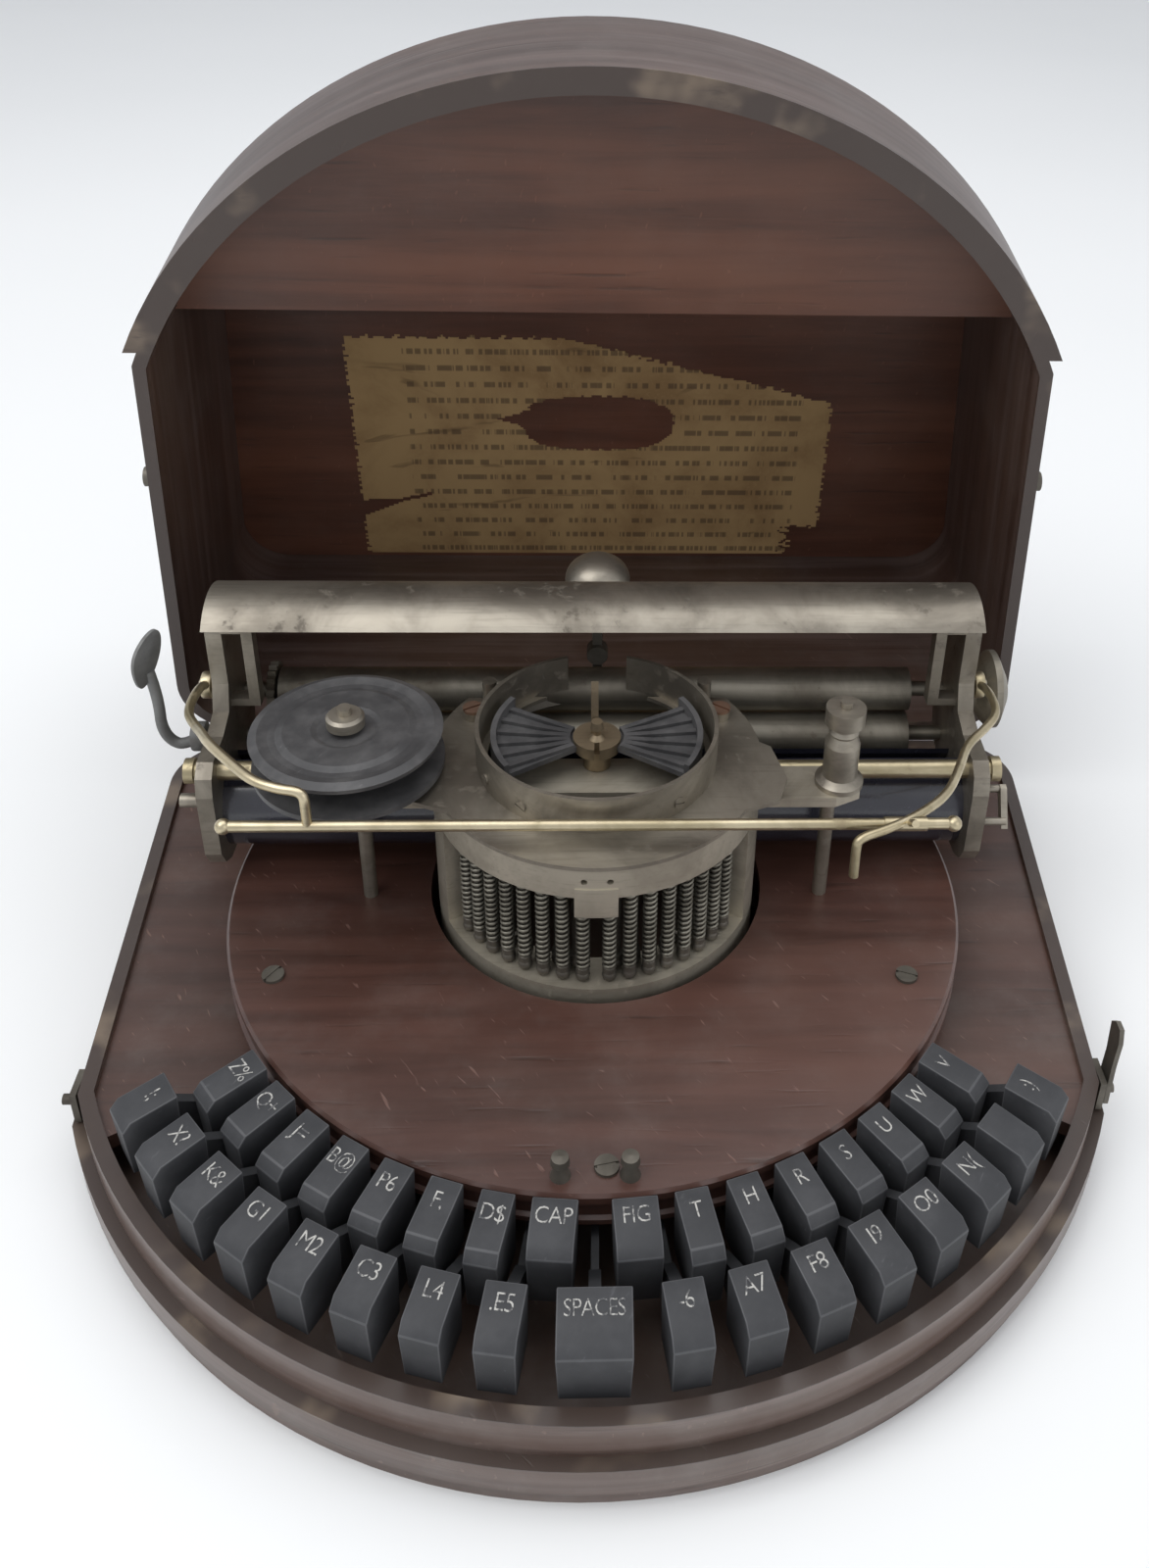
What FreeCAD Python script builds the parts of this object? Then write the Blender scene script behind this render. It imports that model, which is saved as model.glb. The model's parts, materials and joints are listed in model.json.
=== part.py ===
import FreeCAD, Part
import math
import os

from FreeCAD import Placement, Rotation, Vector

# Keyboard type-shuttle typewriter in a hinged bentwood case. Millimetres, +Z up.
# The origin is the turret axis on the table; the keyboard side faces -Y.

doc = FreeCAD.newDocument("typewriter")
sheet = doc.addObject("Spreadsheet::Sheet", "Sizes")

SIZES = (
    # case
    ("rim_radius", 188.0), ("corner_half", 170.4), ("rear_half", 183.0), ("rear_edge", 110.0),
    ("corner_round", 26.0), ("rim_wall", 5.0), ("rim_top", 33.4), ("plinth_top", 19.0),
    ("plinth_swell", 4.0), ("foot_swell", 2.0), ("floor_thick", 8.0), ("deck_top", 31.0),
    ("deck_thick", 6.0), ("well_half_angle", 59.0),
    # disc over the key levers
    ("disc_radius", 134.5), ("disc_top", 53.5), ("disc_thick", 13.5), ("disc_bead", 3.0),
    ("disc_hole", 61.5), ("disc_back", 100.0), ("skirt_wall", 10.0),
    # keys
    ("outer_front", 181.0), ("outer_back", 163.0), ("inner_front", 158.0), ("inner_back", 137.0),
    ("shift_front", 154.0), ("key_top", 55.5), ("key_under", 32.0), ("outer_width", 11.8),
    ("inner_width", 10.2), ("shift_width", 13.5), ("space_width", 21.0), ("key_slope", 1.4),
    ("key_bevel", 3.0), ("key_pitch", 6.6), ("outer_start", 8.5), ("inner_start", 11.8),
    ("shift_angle", 4.8), ("lever_thick", 2.4), ("lever_bottom", 29.5), ("lever_top", 35.5),
    ("lever_inner", 64.0), ("neck_thick", 3.6), ("pivot_radius", 100.0), ("pivot_height", 32.5),
    ("pivot_wire", 1.3), ("pivot_gap", 0.12), ("comb_wall", 2.0), ("comb_reach", 7.0),
    # turret
    ("drum_radius", 58.6), ("drum_wall", 7.0), ("flange_top", 57.0), ("flange_thick", 3.5),
    ("flange_bore", 44.0), ("pillar_from", 64.0), ("pillar_to", 86.0), ("band_bottom", 98.0),
    ("band_top", 110.0), ("band_wall", 3.0), ("tongue_half", 7.0), ("tongue_bottom", 90.0),
    ("bridge_bottom", 103.6), ("bridge_thick", 3.4), ("bridge_half_depth", 8.0),
    ("lug_at", 47.0), ("lug_thick", 6.0), ("arm_reach", 86.0), ("arm_width", 18.0),
    ("arm_bottom", 101.0), ("arm_top", 105.0), ("arm_line", -8.0),
    ("plate_thick", 1.6), ("plate_rise", 2.0), ("plate_back", 34.0),
    ("ring_radius", 42.85), ("ring_wall", 1.5), ("ring_top", 125.7), ("ring_gap", 22.0),
    ("pin_circle", 53.6), ("pin_radius", 1.5), ("pin_start", 4.8), ("pin_pitch", 7.4),
    ("spring_radius", 2.3), ("pin_foot", 2.6), ("foot_tall", 4.2), ("inner_pin_circle", 47.5),
    # type wheel
    ("shaft_radius", 2.0), ("hub_radius", 8.5), ("hub_bottom", 115.0), ("hub_top", 119.5),
    ("fan_radius", 37.5), ("fan_angle", 66.0), ("fan_thick", 2.0), ("type_wall", 2.0),
    ("type_bottom", 109.5), ("type_top", 122.0), ("rib_width", 2.0), ("rib_tall", 1.6),
    ("pointer_top", 140.0), ("run_gap", 0.06),
    # ribbon spool and posts
    ("spool_radius", 33.0), ("spool_low", 114.6), ("spool_high", 129.5), ("spool_core", 12.0),
    ("spool_flange", 3.0), ("spool_bore", 3.1), ("post_radius", 3.0), ("nut_radius", 6.6),
    ("nut_top", 139.0), ("stem_radius", 2.6),
    # carriage
    ("end_inner", 137.0), ("end_thick", 6.0), ("rail_y", 9.0), ("rail_z", 97.2),
    ("rail_radius", 3.5), ("rail_half", 149.0), ("basket_y", 21.5), ("basket_z", 75.0),
    ("basket_radius", 17.5), ("basket_wall", 1.6), ("feed_y", 55.0), ("feed_z", 101.0),
    ("feed_radius", 8.6), ("press_drop", 18.0), ("press_back", 5.0), ("press_radius", 9.0),
    ("axle_radius", 3.0), ("knob_radius", 15.5), ("knob_out", 163.0), ("ratchet_radius", 11.0),
    ("cover_y", 47.0), ("cover_z", 127.0), ("cover_radius", 24.0), ("cover_wall", 1.4),
    ("cover_edge", 143.6), ("end_top", 146.0),
    # paper bail
    ("bail_y", -47.0), ("bail_z", 119.0), ("bail_radius", 1.9), ("bail_left", -120.0),
    ("bail_right", 117.0), ("bail_pivot_y", 42.0), ("bail_pivot_z", 112.0), ("bail_pin", 2.5),
    ("lever_y", 26.0), ("lever_z", 100.0), ("lever_pin", 2.4),
    # bell and hammer
    ("bell_y", 91.2), ("bell_radius", 13.0), ("bell_top", 136.0), ("hammer_y", 73.6),
    ("hammer_z", 60.0), ("hammer_tall", 131.0), ("hammer_head_y", 55.0),
    # lid
    ("hinge_y", 113.5), ("hinge_z", 33.4), ("hinge_pin", 2.0), ("lid_gap", 0.4), ("lid_angle", 81.0),
    ("lid_deep", 126.0), ("lid_low", 50.0), ("lid_board", 6.0), ("lid_step", -85.0),
    ("lid_lap", 4.5),
    # side fastenings
    ("hasp_y", -74.0), ("hasp_long", 30.0),
)
VALUES = dict(SIZES)


class Size:
    """A length or angle held both as a sheet expression and as its present value."""

    def __init__(self, text, value):
        self.text = text
        self.value = value

    def _join(self, sign, other, value):
        return Size("(%s %s %s)" % (self.text, sign, num(other).text), value)

    def __add__(self, other):
        return self._join("+", other, self.value + num(other).value)

    def __sub__(self, other):
        return self._join("-", other, self.value - num(other).value)

    def __mul__(self, other):
        return self._join("*", other, self.value * num(other).value)

    def __truediv__(self, other):
        return self._join("/", other, self.value / num(other).value)

    def __neg__(self):
        return Size("(0 - %s)" % self.text, -self.value)

    def __radd__(self, other):
        return num(other) + self

    def __rsub__(self, other):
        return num(other) - self

    def __rmul__(self, other):
        return self * other


def num(value):
    if isinstance(value, Size):
        return value
    return Size(repr(float(value)), float(value))


def sin(angle):
    angle = num(angle)
    return Size("sin(%s)" % angle.text, math.sin(math.radians(angle.value)))


def cos(angle):
    angle = num(angle)
    return Size("cos(%s)" % angle.text, math.cos(math.radians(angle.value)))


for row, (alias, value) in enumerate(SIZES, 1):
    sheet.set("A%d" % row, alias)
    sheet.set("B%d" % row, repr(value))
    sheet.setAlias("B%d" % row, alias)
doc.recompute()


def S(alias):
    return Size("Sizes." + alias, VALUES[alias])


def bind(obj, **props):
    """Binds properties to expressions and sets their present values."""
    for prop, value in props.items():
        value = num(value)
        setattr(obj, prop, value.value)
        obj.setExpression(prop, value.text)
    return obj


def at(obj, x=0, y=0, z=0, turn=0, axis=(0, 0, 1)):
    """Places an object; the position and the turn angle stay bound."""
    x, y, z, turn = num(x), num(y), num(z), num(turn)
    obj.Placement = Placement(Vector(x.value, y.value, z.value), Rotation(Vector(*axis), turn.value))
    obj.setExpression("Placement.Base.x", x.text)
    obj.setExpression("Placement.Base.y", y.text)
    obj.setExpression("Placement.Base.z", z.text)
    if turn.value:
        obj.setExpression("Placement.Rotation.Angle", turn.text)
    return obj


ALONG = {"z": ((0, 0, 1), 0), "x": ((0, 1, 0), 90), "y": ((1, 0, 0), -90)}


def rod(name, radius, length, x=0, y=0, z=0, along="z"):
    """A round bar from its start point along an axis."""
    obj = bind(doc.addObject("Part::Cylinder", name), Radius=radius, Height=length)
    axis, turn = ALONG[along]
    return at(obj, x, y, z, turn, axis)


def prism(name, sides, radius, length, x, y, z):
    """An upright bar with flat sides, for the many small pins."""
    obj = bind(doc.addObject("Part::Prism", name), Circumradius=radius, Height=length)
    obj.Polygon = sides
    return at(obj, x, y, z)


def box(name, x0, x1, y0, y1, z0, z1):
    x0, x1, y0, y1, z0, z1 = (num(v) for v in (x0, x1, y0, y1, z0, z1))
    obj = bind(doc.addObject("Part::Box", name), Length=x1 - x0, Width=y1 - y0, Height=z1 - z0)
    return at(obj, x0, y0, z0)


def cut(name, base, *tools):
    obj = doc.addObject("Part::Cut", name)
    obj.Base = base
    obj.Tool = tools[0] if len(tools) == 1 else fuse(name + "_tools", *tools)
    return obj


def fuse(name, *shapes):
    obj = doc.addObject("Part::MultiFuse", name)
    obj.Shapes = list(shapes)
    return obj


def common(name, *shapes):
    obj = doc.addObject("Part::MultiCommon", name)
    obj.Shapes = list(shapes)
    return obj


def tube(name, outer, inner, length, x=0, y=0, z=0, along="z", over=1.0):
    """A hollow round bar."""
    shift = {"x": (over, 0, 0), "y": (0, over, 0), "z": (0, 0, over)}[along]
    bore = rod(name + "_bore", inner, num(length) + 2 * over,
               num(x) - shift[0], num(y) - shift[1], num(z) - shift[2], along)
    return cut(name, rod(name + "_out", outer, length, x, y, z, along), bore)


def plane(body, role):
    return [f for f in body.Origin.OriginFeatures if f.Role == role][0]


def sketch_on(body, name, role, offset=None):
    sketch = body.newObject("Sketcher::SketchObject", name)
    sketch.AttachmentSupport = [(plane(body, role), "")]
    sketch.MapMode = "FlatFace"
    if offset is not None:
        offset = num(offset)
        sketch.AttachmentOffset = Placement(Vector(0, 0, offset.value), Rotation())
        sketch.setExpression("AttachmentOffset.Base.z", offset.text)
    return sketch


def outline(sketch, points):
    """A closed polygon whose corners are held by bound coordinates."""
    import Sketcher
    points = [(num(a), num(b)) for a, b in points]
    first = sketch.GeometryCount
    count = len(points)
    for i in range(count):
        (a, b), (c, d) = points[i], points[(i + 1) % count]
        line = Part.LineSegment(Vector(a.value, b.value, 0), Vector(c.value, d.value, 0))
        sketch.addGeometry(line, False)
    for i in range(count):
        sketch.addConstraint(Sketcher.Constraint(
            "Coincident", first + i, 2, first + (i + 1) % count, 1))
    for i, (a, b) in enumerate(points):
        for kind, value in (("DistanceX", a), ("DistanceY", b)):
            if abs(value.value) < 1e-9:
                where = -2 if kind == "DistanceX" else -1
                sketch.addConstraint(Sketcher.Constraint("PointOnObject", first + i, 1, where))
                continue
            index = sketch.addConstraint(
                Sketcher.Constraint(kind, -1, 1, first + i, 1, value.value))
            sketch.setExpression("Constraints[%d]" % index, value.text)
    return sketch


def pad(body, sketch, length, both=False, name="Pad"):
    """Pads a sketch; with both, evenly to its two sides."""
    feature = body.newObject("PartDesign::Pad", name)
    feature.Profile = sketch
    bind(feature, Length=length)
    feature.Midplane = both
    sketch.Visibility = False
    body.Tip = feature
    return feature


def turned(name, profile, x=0, y=0, z=0, turn=0, axis=(0, 0, 1)):
    """A body turned about its own Z from a half profile of (radius, height) points."""
    body = doc.addObject("PartDesign::Body", name)
    sketch = outline(sketch_on(body, name + "_profile", "XZ_Plane"), profile)
    feature = body.newObject("PartDesign::Revolution", name + "_turn")
    feature.Profile = sketch
    feature.ReferenceAxis = (sketch, ["V_Axis"])
    feature.Angle = 360
    body.Tip = feature
    return at(body, x, y, z, turn, axis)


def slab(name, points, half, x=0):
    """A plate of a YZ outline, centred on its own X."""
    body = doc.addObject("PartDesign::Body", name)
    sketch = outline(sketch_on(body, name + "_profile", "YZ_Plane"), points)
    pad(body, sketch, num(half) * 2, both=True, name=name + "_pad")
    return at(body, x)


def plate(name, points, thick, z=0):
    """A plate of an XY outline, rising from z."""
    body = doc.addObject("PartDesign::Body", name)
    sketch = outline(sketch_on(body, name + "_profile", "XY_Plane"), points)
    pad(body, sketch, thick, name=name + "_pad")
    return at(body, 0, 0, z)


def sector(name, outer, inner, low, high, start, stop):
    """A ring segment between two angles measured from the front, positive towards +X."""
    start, stop = num(start), num(stop)
    span = stop - start
    pies = []
    for label, radius, more in (("out", outer, 0.0), ("in", inner, 1.0)):
        pie = bind(doc.addObject("Part::Cylinder", "%s_%s" % (name, label)),
                   Radius=radius, Height=num(high) - low + 2 * more)
        if label == "out":
            bind(pie, Angle=span)
        pies.append(at(pie, 0, 0, num(low) - more, start - 90))
    return cut(name, *pies)


NODES = {}


def node(name, obj):
    obj.Label = name
    NODES[name] = obj
    return obj


def case_plan(name, grow):
    """The outline shared by base and lid: a front arc, straight sides, rounded rear corners.

    A positive grow moves the whole outline outward by that much.
    """
    import Sketcher
    C = Sketcher.Constraint
    sketch = doc.addObject("Sketcher::SketchObject", name)
    radius, rear = S("rim_radius") + grow, S("rear_edge") + grow
    half, corner = S("corner_half") + num(grow) * 0.985, S("corner_round") + grow
    centre = S("rear_half") - S("corner_round")
    deep = S("rear_edge") - S("corner_round")
    low = -math.sqrt(radius.value ** 2 - half.value ** 2)
    start, stop = math.atan2(low, -half.value), math.atan2(low, half.value)
    up = Vector(0, 0, 1)
    xr, yr, xc, yc = centre.value + corner.value, rear.value, centre.value, deep.value
    pieces = (
        Part.ArcOfCircle(Part.Circle(Vector(0, 0, 0), up, radius.value), start, stop),
        Part.LineSegment(Vector(half.value, low, 0), Vector(xr, yc, 0)),
        Part.ArcOfCircle(Part.Circle(Vector(xc, yc, 0), up, corner.value), 0, math.pi / 2),
        Part.LineSegment(Vector(xc, yr, 0), Vector(-xc, yr, 0)),
        Part.ArcOfCircle(Part.Circle(Vector(-xc, yc, 0), up, corner.value),
                         math.pi / 2, math.pi),
        Part.LineSegment(Vector(-xr, yc, 0), Vector(-half.value, low, 0)),
    )
    for piece in pieces:
        sketch.addGeometry(piece, False)
    for rule in (C("Coincident", 0, 3, -1, 1), C("Coincident", 0, 2, 1, 1),
                 C("Tangent", 1, 2, 2, 1), C("Tangent", 2, 2, 3, 1), C("Tangent", 3, 2, 4, 1),
                 C("Tangent", 4, 2, 5, 1), C("Coincident", 5, 2, 0, 1), C("Horizontal", 3)):
        sketch.addConstraint(rule)
    for rule, value in ((C("Radius", 0, radius.value), radius),
                        (C("Radius", 2, corner.value), corner),
                        (C("Radius", 4, corner.value), corner),
                        (C("DistanceX", -1, 1, 0, 2, half.value), half),
                        (C("DistanceX", -1, 1, 0, 1, -half.value), -half),
                        (C("DistanceY", -1, 1, 3, 1, yr), rear),
                        (C("DistanceX", -1, 1, 2, 3, xc), centre),
                        (C("DistanceX", -1, 1, 4, 3, -xc), -centre)):
        index = sketch.addConstraint(rule)
        sketch.setExpression("Constraints[%d]" % index, value.text)
    return sketch


def case_block(name, grow, low, high):
    """The case outline, grown or shrunk, raised between two heights."""
    raised = doc.addObject("Part::Extrusion", name)
    raised.Base = case_plan(name + "_plan", grow)
    raised.DirMode = "Custom"
    raised.Dir = Vector(0, 0, 1)
    raised.Solid = True
    bind(raised, LengthFwd=num(high) - low)
    return at(raised, 0, 0, low)


def case_ring(name, outer, inner, low, high):
    return cut(name, case_block(name + "_out", outer, low, high),
               case_block(name + "_in", inner, num(low) - 1, num(high) + 1))


def side_at(y):
    """The half width of the case outline at a place along its straight sides."""
    run = S("rear_edge") - S("corner_round") + 79.5
    return S("corner_half") + (S("rear_half") - S("corner_half")) * (num(y) + 79.5) / run


FAR = S("rim_radius") * 2
WALL = S("rim_wall")

# Base: floor with its moulded foot, bent rim, deck board

node("base_board", fuse(
    "BaseBoard", case_block("BaseFloor", S("foot_swell"), 0, S("floor_thick")),
    case_ring("BaseMoulding", S("plinth_swell"), 0, S("floor_thick"), S("plinth_top"))))
node("rim_band", case_ring("RimBand", 0, -WALL, S("floor_thick"), S("rim_top")))

well = S("well_half_angle")
wedge = plate("WellWedge", [(0, 0), (-FAR * sin(well), -FAR * cos(well)),
                            (FAR * sin(well), -FAR * cos(well))],
              S("deck_thick") + 2, S("deck_top") - S("deck_thick") - 1)
deck = case_block("DeckWhole", -WALL, S("deck_top") - S("deck_thick"), S("deck_top"))
drum_way = rod("DeckBore", S("disc_hole"), S("deck_thick") + 2, 0, 0,
               S("deck_top") - S("deck_thick") - 1)
battens = [box("DeckBatten%d" % i, x - 6, x + 6, -20, 100, S("floor_thick"),
               S("deck_top") - S("deck_thick")) for i, x in enumerate((-120, 120))]
node("deck_board", fuse("DeckBoard", cut("DeckCut", deck, wedge, drum_way), *battens))

# Disc: a moulded board over the levers, carried by a skirt on the deck

top, thick, bead, reach = S("disc_top"), S("disc_thick"), S("disc_bead"), S("disc_radius")
under = top - thick
disc = turned("DiscTurned", [
    (S("disc_hole"), under), (reach - 1, under), (reach, under + 1), (reach, under + bead),
    (reach - 1.2, under + bead + 0.8), (reach - 1.2, top - bead - 1.5),
    (reach - 0.2, top - bead - 0.6), (reach - 0.2, top - 1), (reach - 1.2, top),
    (S("disc_hole"), top)])
skirt = sector("DiscSkirt", reach - 2, reach - 2 - S("skirt_wall"), S("deck_top"), under,
               well + 1, 359 - well)
disc_end = box("DiscEnd", -FAR, FAR, S("disc_back"), FAR, S("deck_top") - 1, top + 1)
node("disc_board", cut("DiscBoard", fuse("DiscWhole", disc, skirt), disc_end))

# Keys: a block on a flat lever, notched to rock on a curved bar under the disc

KEYS = []
for side, label in ((-1, "l"), (1, "r")):
    for k in range(8):
        KEYS.append(("key_outer_%s%d" % (label, k + 1),
                     (S("outer_start") + S("key_pitch") * k) * side, "outer"))
    for k in range(7):
        KEYS.append(("key_inner_%s%d" % (label, k + 1),
                     (S("inner_start") + S("key_pitch") * k) * side, "inner"))
KEYS.append(("key_spaces", num(0), "space"))
KEYS.append(("key_cap", -S("shift_angle"), "shift"))
KEYS.append(("key_fig", S("shift_angle"), "shift"))

KINDS = {
    "outer": (S("outer_front"), S("outer_back"), S("outer_width"), num(0)),
    "space": (S("outer_front"), S("outer_back"), S("space_width"), num(0)),
    "inner": (S("inner_front"), S("inner_back"), S("inner_width"), num(1)),
    "shift": (S("shift_front"), S("inner_back"), S("shift_width"), num(1)),
}


def key(name, angle, kind):
    front, back, width, lift = KINDS[kind]
    high = S("key_top") + lift
    body = doc.addObject("PartDesign::Body", name)
    block = outline(sketch_on(body, name + "_block", "YZ_Plane"), [
        (-front + 1, S("key_under")), (-back - 1, S("key_under")), (-back, high),
        (-front + S("key_bevel"), high - S("key_slope")),
        (-front, high - S("key_slope") - S("key_bevel"))])
    pad(body, block, width, both=True, name=name + "_pad")
    if kind in ("outer", "space"):
        neck = outline(sketch_on(body, name + "_neck", "YZ_Plane"), [
            (-back - 1.5, S("lever_bottom")), (-back - 1.5, high - 5), (-back + 8, high - 12),
            (-back + 18, S("lever_top")), (-back + 18, S("lever_bottom"))])
        pad(body, neck, S("neck_thick"), both=True, name=name + "_neck_pad")
    slot_half = S("pivot_wire") + S("pivot_gap")
    slot_in, slot_out = slot_half - S("pivot_radius"), -S("pivot_radius") - slot_half
    slot_top = S("pivot_height") + slot_half
    lever = outline(sketch_on(body, name + "_lever", "YZ_Plane"), [
        (-front + 4, S("lever_bottom")), (-front + 4, S("lever_top")),
        (-S("lever_inner"), S("lever_top")), (-S("lever_inner"), S("lever_bottom")),
        (slot_in, S("lever_bottom")), (slot_in, slot_top), (slot_out, slot_top),
        (slot_out, S("lever_bottom"))])
    pad(body, lever, S("lever_thick"), both=True, name=name + "_lever_pad")
    return node(name, at(body, 0, 0, 0, angle))


for name, angle, kind in KEYS:
    key(name, angle, kind)

# Fulcrum: a curved bar held by two low posts on a sill

half_wire = S("pivot_wire")
wire = sector("PivotBar", S("pivot_radius") + half_wire, S("pivot_radius") - half_wire,
              S("pivot_height") - half_wire, S("pivot_height") + half_wire, 0.5 - well, well - 0.5)
cheeks = [sector("Comb%d" % i, S("pivot_radius") + S("comb_reach") / 2,
                 S("pivot_radius") - S("comb_reach") / 2, S("floor_thick"),
                 S("pivot_height") + 3, angle, angle + 2)
          for i, angle in enumerate((0.4 - well, well - 2.4))]
sill = sector("CombSill", S("pivot_radius") + S("comb_reach") / 2,
              S("pivot_radius") - S("comb_reach") / 2, S("floor_thick"),
              S("lever_bottom") - 4, 0.4 - well, well - 0.4)
node("key_fulcrum", fuse("KeyFulcrum", wire, sill, *cheeks))

# Turret frame: drum, flange, front pillars, fascia band, bridge, rail lugs and side arms

drum, wall = S("drum_radius"), S("drum_wall")
pieces = [
    tube("Drum", drum, drum - wall, S("flange_top") - S("floor_thick"), 0, 0, S("floor_thick")),
    tube("Flange", drum, S("flange_bore"), S("flange_thick"), 0, 0,
         S("flange_top") - S("flange_thick")),
    sector("Band", drum, drum - S("band_wall"), S("band_bottom"), S("band_top"), -88, 88),
    sector("Tongue", drum + 0.4, drum - S("band_wall"), S("tongue_bottom"),
           S("band_bottom") + 4, -7, 7),
]
for i, (a, b) in enumerate(((-S("pillar_to"), -S("pillar_from")),
                            (S("pillar_from"), S("pillar_to")))):
    pieces.append(sector("Pillar%d" % i, drum, drum - 6, S("flange_top") - 1,
                         S("band_bottom") + 1, a, b))
bridge_top = S("bridge_bottom") + S("bridge_thick")
pieces.append(box("Bridge", -drum + 1.5, drum - 1.5, -S("bridge_half_depth") - 8,
                  -1 + S("bridge_half_depth") / 2, S("bridge_bottom"), bridge_top))
for i, side in enumerate((-1, 1)):
    x = S("lug_at") * side
    pieces.append(box("Lug%d" % i, x - S("lug_thick") / 2, x + S("lug_thick") / 2,
                      -S("bridge_half_depth"), S("rail_y") + S("rail_radius") + 2.5,
                      S("rail_z") - S("rail_radius") - 1.2, bridge_top))
    half = S("arm_width") / 2
    inner, outer = (drum - 8) * side, (S("arm_reach") - 2) * side
    tip = S("arm_reach") * side + (half - 2) * side
    pieces.append(plate("Arm%d" % i, [
        (inner, S("arm_line") - half), (outer, S("arm_line") - half),
        (tip, S("arm_line") - half / 2), (tip, S("arm_line") + half / 2),
        (outer, S("arm_line") + half), (inner, S("arm_line") + half)],
        S("arm_top") - S("arm_bottom"), S("arm_bottom")))
frame_whole = fuse("FrameWhole", *pieces)
rail_ways = rod("RailWay", S("rail_radius") + S("run_gap"), FAR, -S("rim_radius"),
                S("rail_y"), S("rail_z"), "x")
shaft_way = rod("ShaftWay", S("shaft_radius") + S("run_gap"), 20, 0, 0,
                S("bridge_bottom") - 5)
holes = [rod("BandHole%d" % i, 1.1, 8, x, -drum - 2, S("band_bottom") + 7, "y")
         for i, x in enumerate((-4.0, 4.5))]
node("turret_frame", cut("TurretFrame", frame_whole, rail_ways, shaft_way, *holes))

# Top plate, dished up to the guard ring, open behind for the paper path

base_z, ring = S("band_top"), S("ring_radius")
dish = turned("PlateTurned", [
    (ring - 4, base_z + S("plate_rise") - S("plate_thick")),
    (drum - 3, base_z), (drum + 0.5, base_z), (drum + 0.5, base_z + S("plate_thick")),
    (drum - 3, base_z + S("plate_thick")), (ring - 4, base_z + S("plate_rise"))])
back = box("PlateBack", -FAR / 4, FAR / 4, S("plate_back"), FAR / 4, base_z - 5, base_z + 9)
wings = [plate("Wing%d" % i, [
    (drum * 0.72 * s, -34), (S("drum_radius") * s + 4 * s, -26), (drum * s + 8 * s, -14),
    (drum * s + 4 * s, 4), (drum * s - 2 * s, 8), (drum * 0.8 * s, 34), (drum * 0.62 * s, 34),
    (drum * 0.78 * s, 0)], S("plate_thick"), base_z) for i, s in enumerate((-1, 1))]
heads = [rod("PlateScrew%d" % i, 3.6, 4.5, x, y, base_z + 0.5)
         for i, (x, y) in enumerate(((-45.5, 22.0), (45.5, 22.0)))]
posts = [rod("PlatePost%d" % i, 2.6, 11.0, x, y, base_z + 0.5)
         for i, (x, y) in enumerate(((-40.0, 31.0), (40.0, 31.0)))]
ring_base = base_z + S("plate_rise") - 0.8
ring_tube = tube("RingTube", ring, ring - S("ring_wall"), S("ring_top") - ring_base, 0, 0, ring_base)
gap = box("RingGap", -S("ring_gap") / 2, S("ring_gap") / 2, 20, 60, base_z, S("ring_top") + 1)
guard = cut("GuardRing", ring_tube, gap)
node("turret_top_plate", fuse("TopPlate", cut("Dish", dish, back), guard,
                              *(wings + heads + posts)))

# Index pins: two staggered rows of rods with thick feet, the front row in spring sleeves

pins, sleeves = [], []
for k in range(8):
    for side in (-1, 1):
        angle = (S("pin_start") + S("pin_pitch") * k) * side
        for row, circle_r, shift in (("a", S("pin_circle"), 0), ("b", S("inner_pin_circle"), 3.7)):
            if row == "b" and k > 6:
                continue
            turn = angle + shift * side
            x, y = circle_r * sin(turn), -circle_r * cos(turn)
            tag = "%s%d%s" % (row, k, "l" if side < 0 else "r")
            pins.append(prism("Pin" + tag, 8, S("pin_radius"), S("band_bottom") - S("flange_top"),
                              x, y, S("flange_top")))
            pins.append(prism("Foot" + tag, 8, S("pin_foot"), S("foot_tall"), x, y,
                              S("flange_top")))
            if row == "a":
                sleeves.append(prism("Coil" + tag, 8, S("spring_radius"),
                                     S("band_bottom") - S("flange_top") - S("foot_tall") * 2.4,
                                     x, y, S("flange_top") + S("foot_tall") * 1.4))
collar = sector("PinCollar", drum - S("band_wall"), S("inner_pin_circle") - 3, S("band_bottom"),
                S("band_bottom") + 3, -62, 62)
node("index_pins", fuse("IndexPins", collar, *(pins + sleeves)))

# Type wheel: shaft and hub with its catch, two ribbed type sectors

hub_z = S("hub_bottom")
shaft = rod("Shaft", S("shaft_radius"), hub_z - bridge_top + 9, 0, 0, bridge_top - 8)
hub_disc = rod("HubDisc", S("hub_radius"), S("hub_top") - hub_z, 0, 0, hub_z)
hub_foot = rod("HubFoot", 5.0, hub_z - bridge_top - 0.3, 0, 0, bridge_top + 0.3)
hub_slot = box("HubSlot", -0.9, 0.9, -S("hub_radius") - 1, -3.5, hub_z - 1, S("hub_top") + 1)
pointer = slab("Pointer", [(0.6, S("hub_top") - 1), (3.2, S("hub_top") - 1),
                           (4.6, S("pointer_top") - 4), (4.0, S("pointer_top")),
                           (3.0, S("pointer_top") - 4)], 1.3, -0.8)
catch = turned("Catch", [(0, 0), (2.9, 0), (1.5, 1.8), (1.5, 3.0), (2.4, 4.2),
                         (2.0, 7.2), (0, 7.2)], 0, -1.2, S("hub_top"))
node("shuttle_hub", fuse("ShuttleHub", cut("HubCut", hub_disc, hub_slot), shaft, hub_foot,
                         pointer, catch))

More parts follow.
